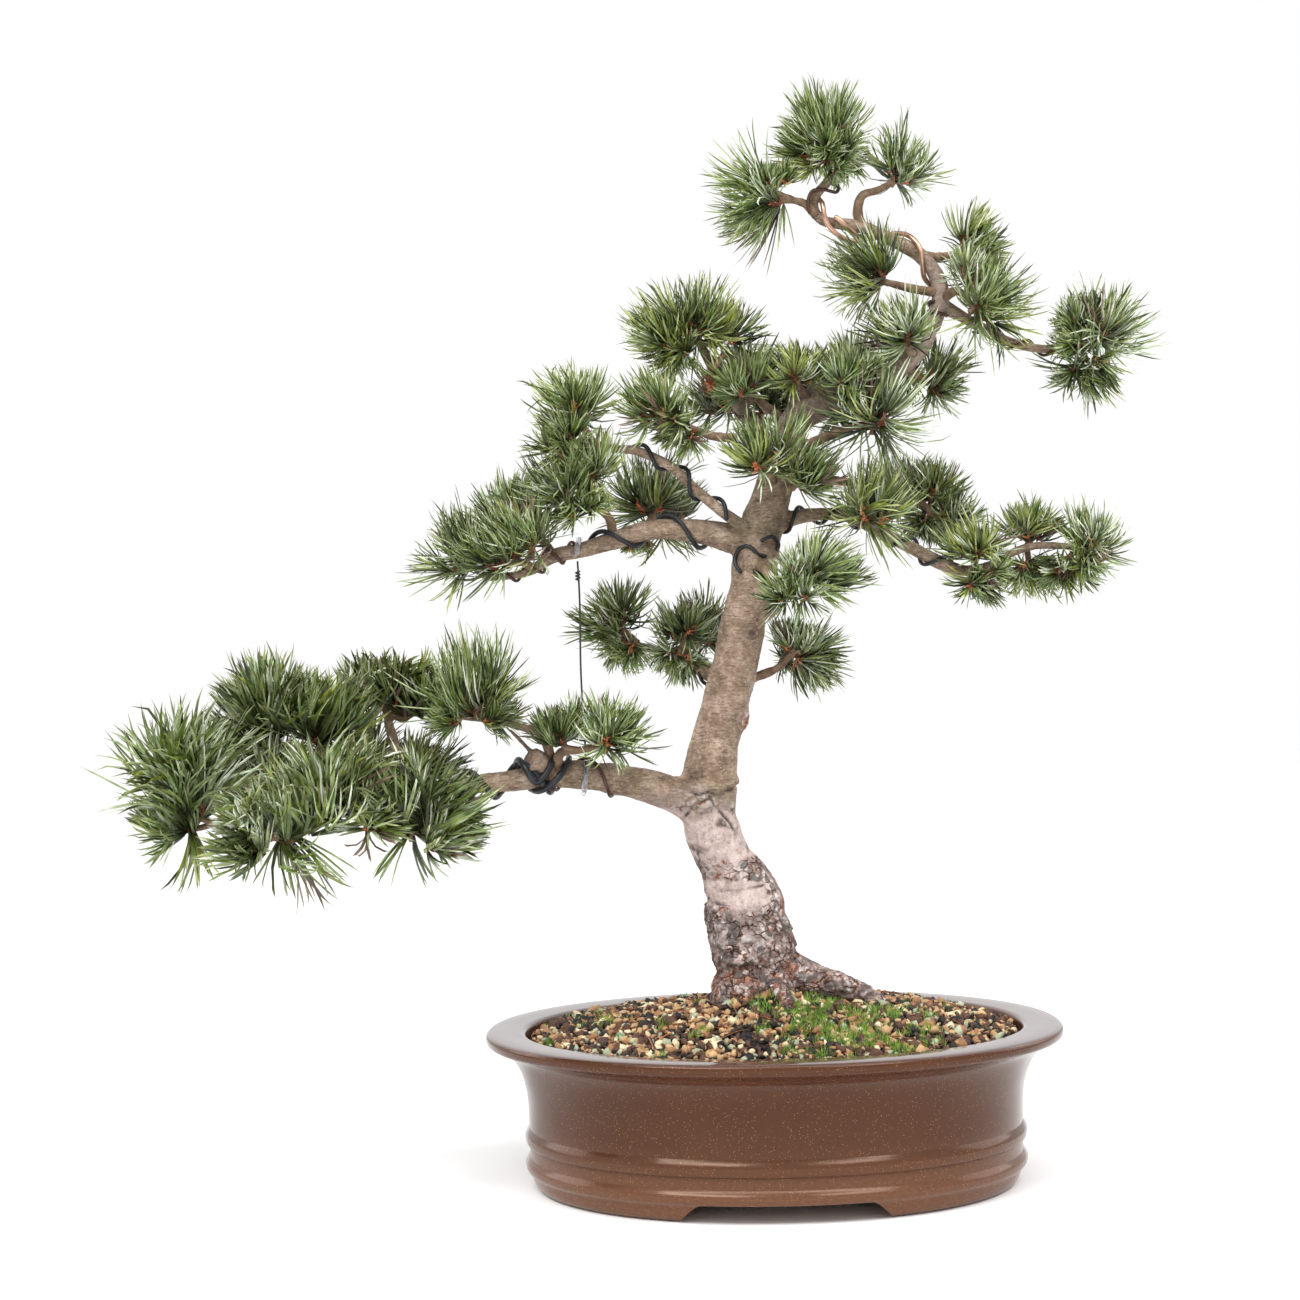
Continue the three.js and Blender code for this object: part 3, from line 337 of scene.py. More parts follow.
class Soup:
    """Many small closed shapes, gathered into one mesh."""

    def __init__(self):
        self.verts, self.faces, self.kinds, self.count = [], [], [], 0

    def add(self, verts, faces, kind=0):
        self.verts.append(verts)
        self.faces.append(faces + self.count)
        self.kinds.append(np.full(len(faces), kind))
        self.count += len(verts)

    def arrays(self):
        return np.vstack(self.verts), np.vstack(self.faces), np.concatenate(self.kinds)


def copies(faces, corners, count):
    """The faces of many copies of a small shape, which has so many corners."""
    return (np.array(faces)[None] + corners * np.arange(count)[:, None, None]).reshape(-1, 3)


def placed(name, data):
    """A new object in the scene around its data."""
    thing = bpy.data.objects.new(name, data)
    bpy.context.scene.collection.objects.link(thing)
    return thing


def mesh_piece(name, verts, faces, materials, kinds=None, smooth=True, replaced=()):
    """A mesh object of triangles, set out in millimetres, that rides on the plant's one body."""
    mesh = bpy.data.meshes.new(name)
    mesh.vertices.add(len(verts))
    mesh.vertices.foreach_set("co", ((verts + SHIFT) * 0.001).astype(np.float32).ravel())
    mesh.loops.add(faces.size)
    mesh.loops.foreach_set("vertex_index", faces.astype(np.int32).ravel())
    mesh.polygons.add(len(faces))
    mesh.polygons.foreach_set("loop_start", np.arange(0, faces.size, 3, dtype=np.int32))
    if kinds is not None:
        mesh.polygons.foreach_set("material_index", kinds.astype(np.int32))
    mesh.update(calc_edges=True)
    mesh.polygons.foreach_set("use_smooth", np.full(len(faces), smooth))
    for material in materials:
        mesh.materials.append(material)
    piece = placed(name, mesh)
    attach(piece, "root")
    if replaced:
        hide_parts(*replaced)
    return piece


def spread_values(piece, name, values):
    """A number from 0 to 1 for each vertex, for the piece's materials."""
    layer = piece.data.attributes.new(name, "FLOAT", "POINT")
    layer.data.foreach_set("value", np.clip(values, 0, 1).astype(np.float32))


# Noise on arrays of points.

HASH_AXES, HASH_SEED = (374761393, 668265263, 2147483647), 974634777
HASH_ROUNDS = ((13, 1274126177), (16, 2246822519))
WORD, FRACTION = 0xFFFFFFFF, 0xFFFFFF  # 32 bits and 24 bits


def hashed(cells, seed):
    """A number from 0 to 1 for every cell of a grid."""
    mixed = ((cells.astype(np.int64) * HASH_AXES).sum(-1) + seed * HASH_SEED) & WORD
    for shift, factor in HASH_ROUNDS:
        mixed = ((mixed ^ (mixed >> shift)) * factor) & WORD
    return ((mixed ^ (mixed >> 15)) & FRACTION) / FRACTION


def value_noise(points, seed):
    """Smooth noise from -1 to 1 with a wavelength of about two."""
    base = np.floor(points)
    share = points - base
    share = share * share * (3 - 2 * share)
    total = 0.0
    for corner in itertools.product((0, 1), repeat=3):
        weight = np.prod(np.where(corner, share, 1 - share), axis=1)
        total = total + weight * hashed(base + corner, seed)
    return total * 2 - 1


def layered(points, seed, layers=3):
    return sum(value_noise(points * 2**k, seed + k) / 2**k for k in range(layers)) / 1.6


def cells_noise(points, seed):
    """Distance to the nearest and next cell centre, and a number for the cell."""
    base = np.floor(points)
    near = np.full(len(points), 9.0)
    following = np.full(len(points), 9.0)
    number = np.zeros(len(points))
    for offset in itertools.product((-1, 0, 1), repeat=3):
        cell = base + offset
        spot = cell + np.stack([hashed(cell, seed + k) for k in range(3)], 1)
        apart = np.linalg.norm(points - spot, axis=1)
        closer = apart < near
        following = np.where(closer, near, np.minimum(following, apart))
        number = np.where(closer, hashed(cell, seed + 7), number)
        near = np.where(closer, apart, near)
    return near, following, number


def noise_vectors(points, seed):
    return np.stack([value_noise(points, seed + k) for k in range(3)], 1)


def bell(x, width, power=2):
    """1 where x is 0, falling to 0 over a width."""
    return np.exp(-((x / width) ** power))


def hump(x, y, middle, widths):
    """1 at a place on the ground, falling to 0 round it."""
    return np.exp(-(((x - middle[0]) / widths[0]) ** 2 + ((y - middle[1]) / widths[1]) ** 2))


def ramp(x, low, high):
    t = np.clip((x - low) / (high - low), 0, 1)
    return t * t * (3 - 2 * t)


# Materials.

def linear(rgb):
    c = np.asarray(rgb, float) / 255
    return (*np.where(c <= 0.04045, c / 12.92, ((c + 0.055) / 1.055) ** 2.4), 1.0)


class Paint:
    """A material on object coordinates, with short ways to add its nodes."""

    def __init__(self, name, roughness, **values):
        self.material = bpy.data.materials.new(name)
        self.material.use_nodes = True
        self.nodes, self.links = self.material.node_tree.nodes, self.material.node_tree.links
        self.shader = self.nodes["Principled BSDF"]
        self.shader.inputs["Roughness"].default_value = roughness
        for key, value in values.items():
            self.shader.inputs[key.replace("_", " ")].default_value = value
        self.place = self.nodes.new("ShaderNodeTexCoord").outputs["Object"]

    def fill(self, node, sockets):
        """Sets a node's sockets, or links them where a value is itself a socket."""
        for key, value in sockets.items():
            if isinstance(value, bpy.types.NodeSocket):
                self.links.new(value, node.inputs[key])
            else:
                node.inputs[key].default_value = value
        return node

    def node(self, kind, sockets):
        return self.fill(self.nodes.new(kind), sockets)

    def stretched(self, scale, place=None):
        """Object coordinates, or other places, multiplied by a scale."""
        node = self.node("ShaderNodeMapping", {"Vector": place or self.place, "Scale": scale})
        return node.outputs["Vector"]

    def noise(self, scale, detail=3.0, roughness=0.5, place=None, output="Fac"):
        sockets = {"Vector": place or self.place, "Scale": scale, "Detail": detail, "Roughness": roughness}
        return self.node("ShaderNodeTexNoise", sockets).outputs[output]

    def warped(self, scale, amount, stretch):
        """Object coordinates pushed about by noise, then stretched."""
        way = self.noise(scale, output="Color")
        push = self.nodes.new("ShaderNodeVectorMath")
        push.operation = "MULTIPLY_ADD"
        self.fill(push, {0: way, 1: (amount, amount, amount), 2: self.place})
        return self.stretched(stretch, push.outputs[0])

    def flakes(self, scale, place):
        """Distance to the nearest flake's edge, and a number for each flake."""
        edge, body = (self.node("ShaderNodeTexVoronoi", {"Scale": scale, "Vector": place}) for _ in range(2))
        edge.feature = "DISTANCE_TO_EDGE"
        split = self.node("ShaderNodeSeparateColor", {0: body.outputs["Color"]})
        return edge.outputs["Distance"], split.outputs[0]

    def cells(self, scale):
        return self.node("ShaderNodeTexVoronoi", {"Scale": scale, "Vector": self.place}).outputs["Distance"]

    def range(self, value, low, high, to_low=0.0, to_high=1.0):
        """A value from low to high, spread from to_low to to_high."""
        ends = {"From Min": low, "From Max": high, "To Min": to_low, "To Max": to_high}
        return self.node("ShaderNodeMapRange", {"Value": value, **ends}).outputs["Result"]

    def math(self, operation, a, b):
        node = self.node("ShaderNodeMath", {0: a, 1: b})
        node.operation = operation
        return node.outputs[0]

    def ramp(self, value, *stops):
        node = self.nodes.new("ShaderNodeValToRGB")
        elements = node.color_ramp.elements
        while len(elements) < len(stops):
            elements.new(0.5)
        for element, (position, rgb) in zip(elements, stops):
            element.position = position
            element.color = linear(rgb)
        self.links.new(value, node.inputs["Fac"])
        return node.outputs["Color"]

    def mix(self, factor, a, b):
        a, b = (value if isinstance(value, bpy.types.NodeSocket) else linear(value) for value in (a, b))
        node = self.nodes.new("ShaderNodeMix")
        node.data_type = "RGBA"
        return self.fill(node, {0: factor, 6: a, 7: b}).outputs[2]

    def attribute(self, name):
        node = self.nodes.new("ShaderNodeAttribute")
        node.attribute_name = name
        return node.outputs["Fac"]

    def height(self):
        return self.node("ShaderNodeSeparateXYZ", {0: self.place}).outputs["Z"]

    def colour(self, socket):
        self.links.new(socket, self.shader.inputs["Base Color"])
        return self

    def rough(self, socket):
        self.links.new(socket, self.shader.inputs["Roughness"])
        return self

    def bump(self, socket, strength, distance):
        node = self.node("ShaderNodeBump", {"Strength": strength, "Distance": distance, "Height": socket})
        self.links.new(node.outputs["Normal"], self.shader.inputs["Normal"])
        return self


TONE_STOPS = {2: (0.3, 0.7), 3: (0.3, 0.55, 0.75)}


def mottled(name, scale, colours, roughness, bump=0.0, swing=0.1):
    """Two or three colours mottled into each other, with a roughness that swings a little."""
    paint = Paint(name, roughness)
    tone = paint.noise(scale)
    paint.colour(paint.ramp(tone, *zip(TONE_STOPS[len(colours)], colours)))
    paint.rough(paint.range(tone, 0.3, 0.7, roughness - swing, roughness + swing))
    if bump:
        paint.bump(paint.noise(scale * 3), bump, 0.0005)
    return paint.material


def needle_paint(name, dark, light, roughness):
    """A needle's face: mottled, with painted shade darkening it towards its sheath, where the bundle shades
    it, and a little brown at its tip.
    """
    paint = Paint(name, roughness)
    tone = paint.noise(90)
    along = paint.attribute("along")
    colour = paint.ramp(tone, (0.36, dark), (0.74, light))
    # Painted shade: the colour darkens towards the needle's root, where the bundle shades it.
    colour = paint.mix(paint.range(along, 0.0, 0.52, 0.85, 0.0), colour, tuple(0.35 * c for c in dark))
    paint.colour(paint.mix(paint.range(along, 0.84, 1.0, 0.0, 0.5), colour, (118, 86, 62)))
    paint.rough(paint.range(tone, 0.3, 0.7, roughness - 0.1, roughness + 0.1))
    return paint.material


def clay(name, tint, low_rough, high_rough, index, coat):
    paint = Paint(name, 0.26, IOR=index, Coat_Weight=coat)
    paint.shader.inputs["Specular Tint"].default_value = (*tint, 1)
    broad = paint.noise(9, 4)
    fine = paint.noise(420, 2)
    body = paint.ramp(broad, (0.25, (60, 33, 20)), (0.55, (69, 39, 24)), (0.8, (78, 45, 29)))
    # Painted light: the wall turns lighter towards its foot, as lit from the white floor below.
    body = paint.mix(paint.range(paint.height(), 0.012, 0.05, 0.55, 0), body, (126, 88, 66))
    body = paint.mix(paint.range(fine, 0.35, 0.75, 0, 0.4), body, (72, 45, 32))
    spot = paint.range(paint.cells(600), 0.1, 0.2, 1, 0)
    some = paint.range(paint.noise(240, 1), 0.36, 0.5, 0, 0.65)
    paint.colour(paint.mix(paint.math("MULTIPLY", spot, some), body, (188, 140, 94)))
    paint.rough(paint.range(paint.noise(60, 3), 0.3, 0.7, low_rough, high_rough))
    return paint.bump(fine, 0.08, 0.0003).material


def bark():
    paint = Paint("bark", 0.88)
    crack, tone, foot, flaky = (paint.attribute(name) for name in ("crack", "tone", "foot", "flaky"))
    rust, grey = paint.attribute("rust"), paint.attribute("grey")
    patch = paint.noise(70, 5, 0.65)
    fine = paint.noise(460, 4, 0.65)
    # Above: grey-brown, greenish here and there, with fine level wrinkles, dashes and pale specks.
    upper = paint.ramp(patch, (0.28, (84, 66, 52)), (0.44, (124, 104, 85)), (0.58, (152, 131, 112)),
                       (0.75, (182, 165, 148)))
    upper = paint.mix(paint.range(paint.noise(22, 2), 0.52, 0.74, 0, 0.85), upper, (114, 104, 78))
    scaly = paint.noise(330, 3, 0.6, paint.stretched((1, 1, 1.8)))
    upper = paint.mix(paint.range(scaly, 0.52, 0.66, 0, 0.5), upper, (98, 78, 62))
    upper = paint.mix(paint.range(scaly, 0.46, 0.34, 0, 0.28), upper, (200, 184, 168))
    dash = paint.noise(170, 2, 0.5, paint.warped(40, 0.004, (1, 1, 6)))
    upper = paint.mix(paint.range(dash, 0.58, 0.67, 0, 0.7), upper, (70, 54, 42))
    speck = paint.math("MULTIPLY", paint.range(paint.cells(420), 0.1, 0.2, 0.8, 0),
                       paint.range(paint.noise(120, 1), 0.6, 0.68))
    upper = paint.mix(speck, upper, (222, 216, 206))
    # At the foot: smooth pinkish grey stretches between flakes that are pale, rusty or dark grey.
    grain = paint.noise(210, 5, 0.7)
    edge, number = paint.flakes(120, paint.warped(85, 0.013, (1, 1, 1.5)))
    small_edge, small_number = paint.flakes(270, paint.warped(190, 0.0035, (1, 1, 1.2)))
    lower = paint.ramp(grain, (0.3, (148, 126, 119)), (0.48, (179, 160, 153)), (0.7, (204, 190, 185)))
    lower = paint.mix(paint.range(tone, 0.1, 0.5, 0.75, 0), lower, (148, 124, 114))
    lower = paint.mix(paint.range(tone, 0.6, 0.95, 0, 0.8), lower, (224, 213, 209))
    pale = paint.math("MULTIPLY", flaky, paint.range(small_number, 0.5, 0.85, 0, 0.75))
    lower = paint.mix(pale, lower, (232, 221, 216))
    rusty = paint.range(paint.math("ADD", small_number, rust), 1.0, 1.12)
    lower = paint.mix(rusty, lower, paint.ramp(grain, (0.35, (116, 68, 50)), (0.65, (190, 138, 116))))
    greyish = paint.range(paint.math("ADD", number, grey), 1.12, 1.22)
    lower = paint.mix(greyish, lower, paint.ramp(grain, (0.35, (76, 73, 71)), (0.65, (146, 141, 138))))
    dot = paint.range(paint.noise(700, 2), 0.64, 0.7, 0, 0.6)
    lower = paint.mix(dot, lower, (112, 76, 62))
    broken = paint.math("MULTIPLY", paint.range(flaky, 0.2, 0.55), foot)
    broken = paint.math("MULTIPLY", broken, paint.range(paint.noise(110, 3, 0.6), 0.41, 0.55))
    rim = paint.math("MULTIPLY", paint.range(edge, 0.05, 0.2, 0.55, 0), broken)
    lower = paint.mix(rim, lower, (160, 108, 86))
    gap = paint.range(small_edge, 0.0, 0.07, 0.45, 0)
    gap = paint.math("MULTIPLY", paint.math("MAXIMUM", paint.range(edge, 0.025, 0.09, 1, 0), gap), broken)
    surface = paint.mix(foot, upper, lower)
    surface = paint.mix(paint.range(fine, 0.3, 0.45, 0.3, 0), surface, (90, 70, 58))
    paint.colour(paint.mix(paint.math("MAXIMUM", crack, gap), surface, (36, 20, 15)))
    relief = paint.math("ADD", paint.math("ADD", fine, scaly), paint.math("MULTIPLY", grain, 1.2))
    relief = paint.math("SUBTRACT", relief, paint.math("MULTIPLY", gap, 1.6))
    return paint.bump(relief, 0.7, 0.0009).material


def metal(name, rgb, roughness, metallic):
    paint = Paint(name, roughness, Metallic=metallic)
    tone = paint.noise(120, 3)
    dark = tuple(0.7 * c for c in rgb)
    paint.colour(paint.ramp(tone, (0.3, dark), (0.7, rgb)))
    paint.rough(paint.range(tone, 0.3, 0.7, roughness - 0.06, roughness + 0.1))
    return paint.bump(paint.noise(700, 2), 0.08, 0.0002).material


# Bark: trunk, boughs and roots fused into one skin, then raised into plates and wrinkles.

BARK_GRAIN = 1.3  # millimetres
LINE_STEP = 2.0  # millimetres


def stations(points):
    """Even stations [x, y, z, radius] along a limb drawn as it is seen."""
    return smooth_line([[*seen(*p[:3]), p[3]] for p in points], LINE_STEP)


LINES = {name: stations(points) for name, points in LIMBS.items()}


def limb_skin(name, line):
    """A limb with a swollen foot and slow swellings along it."""
    along = np.concatenate([[0], np.cumsum(np.linalg.norm(np.diff(line[:, :3], axis=0), axis=1))])
    radii = line[:, 3] * (1 + 0.05 * value_noise(np.stack([along / 11, along * 0, along * 0], 1), len(name)))
    if name != "trunk":
        radii = radii * (1 + 0.35 * np.exp(-along / 9))
    return tube(line[:, :3], radii, 28)


def bark_mesh():
    soup = Soup()
    for name, line in LINES.items():
        soup.add(*limb_skin(name, line))
    for line in map(stations, [*SMALL_LIMBS, *ROOTS]):
        soup.add(*tube(line[:, :3], line[:, 3], 20))
    verts, faces, _ = soup.arrays()
    rough = mesh_piece("bark_draft", verts, faces, [])
    remesh = rough.modifiers.new("fuse", "REMESH")
    remesh.mode = "VOXEL"
    remesh.voxel_size = BARK_GRAIN * 0.001
    relax = rough.modifiers.new("relax", "SMOOTH")
    relax.iterations = 5
    relax.factor = 0.5
    corners = rough.modifiers.new("faces", "TRIANGULATE")
    corners.quad_method = "SHORTEST_DIAGONAL"
    shaped = rough.evaluated_get(bpy.context.evaluated_depsgraph_get())
    fused = shaped.to_mesh()
    verts, normals, faces = (np.empty((len(rows), 3), kind) for rows, kind in (
        (fused.vertices, np.float32), (fused.vertices, np.float32), (fused.polygons, np.int32)))
    fused.vertices.foreach_get("co", verts.ravel())
    fused.vertices.foreach_get("normal", normals.ravel())
    fused.polygons.foreach_get("vertices", faces.ravel())
    shaped.to_mesh_clear()
    bpy.data.objects.remove(rough)
    return verts.astype(float) * 1000 - SHIFT, faces, normals.astype(float)


STATIONS = np.vstack([np.hstack([line, np.gradient(line[:, :3], axis=0)]) for line in LINES.values()])


def nearest_station(points):
    """For each point the nearest place on a limb's middle line: its row in STATIONS and how far."""
    best = np.empty(len(points), int)
    apart = np.empty(len(points))
    for k in range(0, len(points), 4000):
        part = points[k:k + 4000]
        away = np.linalg.norm(part[:, None] - STATIONS[None, :, :3], axis=2)
        best[k:k + 4000] = away.argmin(1)
        apart[k:k + 4000] = away.min(1)
    return best, apart


# Old cuts and knots on the trunk, as [x, z, depth, size, how dark their middle is].
KNOTS = [[-9, 381, -16, 5.5, 0.9], [-14, 213, -24, 4.5, 0.3], [-50, 284, -18, 5, 0.5],
         [-40, 213, -20, 5, 0.7], [-38, 268, -22, 5, 0.4], [2, 182, -20, 5.5, 0.5]]
SCAR = [-15.5, 321, -4, 8]  # a rusty swelling on the trunk's right
WOUND = [-170, 298, -48, 7]  # the cut end of the stub on the low bough
COLLAR = [-40, 270.5]  # the fold round the trunk over the low bough's fork
# Creases on the front of the trunk's foot, as places [x, z].
CREASES = [[[-34, 202], [-22, 202.5], [-5, 205]], [[-42, 193.4], [-23, 190.6], [-5, 187.7]],
           [[-62, 250], [-57, 255], [-52, 261], [-40, 267]],
           [[-41, 268], [-38, 262], [-33, 256], [-27, 249], [-23, 242]],
           [[-14, 234], [-8, 233], [-9, 226], [-3, 224]]]


FOOT_TOP = 264  # the level where the foot's bark ends
# Smooth stretches of the foot: the levels between which they fade in and out, and how smooth they are.
SMOOTH = ((221, 229, 254, 262, 1.25), (190, 196, 208, 213, 0.85))
# Higher up the bark is a little rough again: from a level, fully from the next, to the last.
ROUGH_FROM, ROUGH_FULL, ROUGH_TO = 500, 530, 640


def flaky_share(verts, middle, radius):
    """How far the foot's bark is broken into flakes: smooth stretches stay at two heights."""
    z = verts[:, 2]
    aside = (verts[:, 0] - middle[:, 0]) / radius
    share = 0.62
    for low, low_full, high_full, high, much in SMOOTH:
        share = share - much * ramp(z, low, low_full) * ramp(z, high, high_full)
    share = share + 0.4 * ramp(z, 194, 184)
    share = share + 0.75 * ramp(aside, 0.25, 0.75) + 0.55 * ramp(-aside, 0.6, 0.95)
    share = share - 0.5 * ramp(verts[:, 0], 18, 40)
    share = share + 0.42 * value_noise(verts / 17, 50) + 0.35 * value_noise(verts / 6, 51)
    return np.clip(share, 0, 1)


def creased(verts):
    """How near the vertices on the front lie to a crease: 1 on it, 0 away from it."""
    close = np.zeros(len(verts))
    low = np.flatnonzero((verts[:, 2] > 180) & (verts[:, 2] < 275) & (verts[:, 1] < 0))
    for crease in CREASES:
        line = smooth_line([[*seen(x, z, -20), 0] for x, z in crease], 1.0)[:, :3]
        apart = np.linalg.norm((verts[low][:, None] - line[None]) * [1, 0.2, 1], axis=2).min(1)
        close[low] = np.maximum(close[low], bell(apart, 1.15, 4))
    return close * ramp(value_noise(verts / 4, 98), -0.8, 0.0)


def shingles(points, size, tall, seed):
    """Overlapping flakes: height, distance to a flake's edge, and a number for each flake."""
    near, following, column = cells_noise(points / [size, size, size * 2.4], seed)
    phase = points[:, 2] / tall + column * 5
    row = np.floor(phase)
    rise = phase - row
    number = hashed(np.stack([row, np.floor(column * 997), row * 0], 1), seed + 3)
    side = following - near
    edge = np.minimum(side * size * 0.6, (1 - rise) * tall)
    return 1 - rise, edge, number


def foot_bark(verts, middle, radius):
    """The foot's bark: relief, cracks, how flaky it is, and numbers for its large and small flakes."""
    warped = verts + 5.0 * noise_vectors(verts / 9, 1)
    warped = warped + 1.7 * noise_vectors(verts / 2.6, 4)
    flaky = flaky_share(verts, middle, radius)
    lift, edge, number = shingles(warped, 11.0, 9.5, 11)
    small_lift, small_edge, small_number = shingles(warped * [1, 1, 1.1], 5.2, 4.6, 21)
    mixed = ramp(value_noise(verts / 12, 9), -0.3, 0.3)
    big = 1.7 * lift * (0.35 + 0.65 * number) + 0.7 * (number - 0.5)
    small = 0.9 * small_lift * small_number
    relief = flaky * ((1 - mixed) * big + mixed * (0.5 * big + small)) - 0.5 * flaky
    relief = relief + 0.22 * layered(verts / 2.2, 30) * (0.4 + 0.6 * flaky)
    gap = 0.75 * (1 - ramp(edge, 0.3, 1.4))
    gap = flaky * np.maximum(gap, mixed * 0.5 * (1 - ramp(small_edge, 0.2, 1.1)))
    wrinkle = np.abs(value_noise(warped / [26, 26, 9], 70))
    level = (1 - ramp(wrinkle, 0.02, 0.09)) * ramp(value_noise(verts / 19, 71), -0.15, 0.3)
    relief = relief - 0.7 * level * (1 - flaky)
    return relief, np.maximum(gap, 0.8 * level), flaky, number, small_number


def upper_bark(verts, along, radius):
    """The smooth bark above: relief and cracks of fine wrinkles across the limb, and a few lumps."""
    wrinkle = layered(np.stack([along / 1.5, verts[:, 0] / 9, verts[:, 1] / 9], 1), 40, 2)
    swell = value_noise(verts / 13, 41)
    node_at = cells_noise(np.stack([along / 26, along * 0, along * 0], 1), 42)[0]
    ring = bell(node_at, 0.09) * (radius < 9)
    relief = 0.24 * wrinkle + 0.05 * np.minimum(radius, 14) * swell + 0.45 * ring
    return relief + 0.14 * layered(verts / 2.2, 30), 0.55 * ramp(-wrinkle, 0.4, 0.9)


def marks(verts, front):
    """Relief and cracks of the knots, the fold over the low bough and the creases."""
    relief = np.zeros(len(verts))
    crack = np.zeros(len(verts))
    for x, z, depth, size, dark in KNOTS:
        away = np.linalg.norm((verts - seen(x, z, depth)) * [1, 0.15, 1.4], axis=1) / size + 9 * ~front
        ring = bell(away - 1, 0.22)
        relief += 0.9 * bell(away - 0.8, 0.3) - 0.8 * ring
        crack = np.maximum(crack, np.maximum(0.4 * ring, dark * bell(away, 0.6)))
    fold = verts[:, 2] - COLLAR[1] - 0.012 * (verts[:, 0] - COLLAR[0]) ** 2 - 2.6 * value_noise(verts / 7, 96)
    round_trunk = ramp(verts[:, 0], -66, -59) * (verts[:, 2] < 300)
    relief += round_trunk * (1.5 * bell(fold - 4, 3.2) - 1.4 * bell(fold, 1.3))
    crack = np.maximum(crack, round_trunk * bell(fold, 1.1) * ramp(value_noise(verts / 5, 97), -0.7, 0.1))
    crease = creased(verts)
    return relief - 0.9 * crease, np.maximum(crack, 0.95 * crease)


def bare_spot(verts, x, z, depth, size):
    """1 round a place as it is seen from the front, 0 away from it."""
    return bell(np.linalg.norm(verts - seen(x, z, depth), axis=1), size, 4)


def build_bark():
    verts, faces, normals = bark_mesh()
    best, _ = nearest_station(verts)
    middle, radius = STATIONS[best, :3], STATIONS[best, 3]
    starts = [np.arange(len(line)) * LINE_STEP + 900 * k for k, line in enumerate(LINES.values())]
    along = np.concatenate(starts)[best] + np.einsum("ij,ij->i", verts - middle, unit(STATIONS[best, 4:7]))
    x, z = verts[:, 0], verts[:, 2]
    foot = ramp(FOOT_TOP - z + 9 * value_noise(verts / 16, 5), -12, 12)
    foot = np.maximum(foot, 0.3 * ramp(z, ROUGH_FROM, ROUGH_FULL) * (radius > 4.5) * (z < ROUGH_TO))

    low_relief, low_crack, flaky, number, small_number = foot_bark(verts, middle, radius)
    high_relief, high_crack = upper_bark(verts, along, radius)
    mark_relief, mark_crack = marks(verts, verts[:, 1] < middle[:, 1])
    scar, wound = bare_spot(verts, *SCAR), bare_spot(verts, *WOUND)
    relief = foot * low_relief * np.clip(radius / 14, 0.18, 1)
    relief = relief + (1 - foot) * high_relief * np.clip(radius / 7, 0.35, 1) + mark_relief
    relief = relief + 2.2 * scar * (1 + 0.6 * value_noise(verts / 3, 95))
    crack = np.maximum.reduce([foot * low_crack, (1 - foot) * high_crack, mark_crack])

    rust = 0.35 * value_noise(verts / 12, 80) + 0.4 * value_noise(verts / 4, 81)
    rust = rust + 0.4 * ramp(z, 172, 130) + 0.5 * flaky * (small_number - 0.5)
    rust = foot * ramp(rust, 0.12, 0.5) * (0.15 + 0.85 * ramp(flaky, 0.1, 0.5))
    rust = np.maximum(rust * (1 - 0.75 * ramp(x, 18, 34)), np.maximum(scar, wound))
    grey = value_noise(verts / 9, 90) + 0.8 * (number - 0.5) + 0.3 * bell(z - 200, 26)
    grey = foot * flaky * ramp(grey, 0.35, 0.65)
    foot = np.maximum(foot, 0.9 * np.maximum(scar, wound))
    tone = 0.5 + foot * flaky * (number - 0.5)
    verts = verts + normals * relief[:, None]
    verts[:, 2] = np.maximum(verts[:, 2], GROUND - 9)

    piece = mesh_piece("trunk_and_boughs", verts, faces, [bark()], replaced=list(LIMBS))
    layers = {"crack": crack, "tone": tone, "foot": foot, "rust": rust, "grey": grey, "flaky": flaky}
    for name, values in layers.items():
        spread_values(piece, name, values)


# Foliage: twigs and needles, carried to finer parts.

NEEDLE_STEPS = np.array([0.0, 0.26, 0.54, 0.84, 1.0])
NEEDLE_WIDTHS = np.array([0.8, 1.05, 1.02, 0.8])
SCALE_STEPS, SCALE_WIDTHS = np.array([0.0, 0.5, 1.0]), np.array([0.8, 1.0])
FAMILIES = ("deep", "mid", "fresh", "silver", "dry")
FAMILY_SHARES = (0.37, 0.31, 0.08, 0.2, 0.04)
FRESH_MASSES = ("centre_left", "centre_back", "crown_left", "centre_top", "left_high", "right_near")


def needle_lines(root, aim, bend, length, stations=NEEDLE_STEPS):
    """Points and headings along needles that turn from their aim towards their bend."""
    steps = np.diff(stations)[None, :, None]
    middle = (stations[1:] + stations[:-1])[None, :, None] / 2
    moves = unit(aim[:, None] + 2 * bend[:, None] * middle) * steps * length[:, None, None]
    line = root[:, None] + np.concatenate([np.zeros((len(root), 1, 3)), np.cumsum(moves, 1)], 1)
    return line, unit(aim[:, None] + 2 * bend[:, None] * stations[None, :, None])


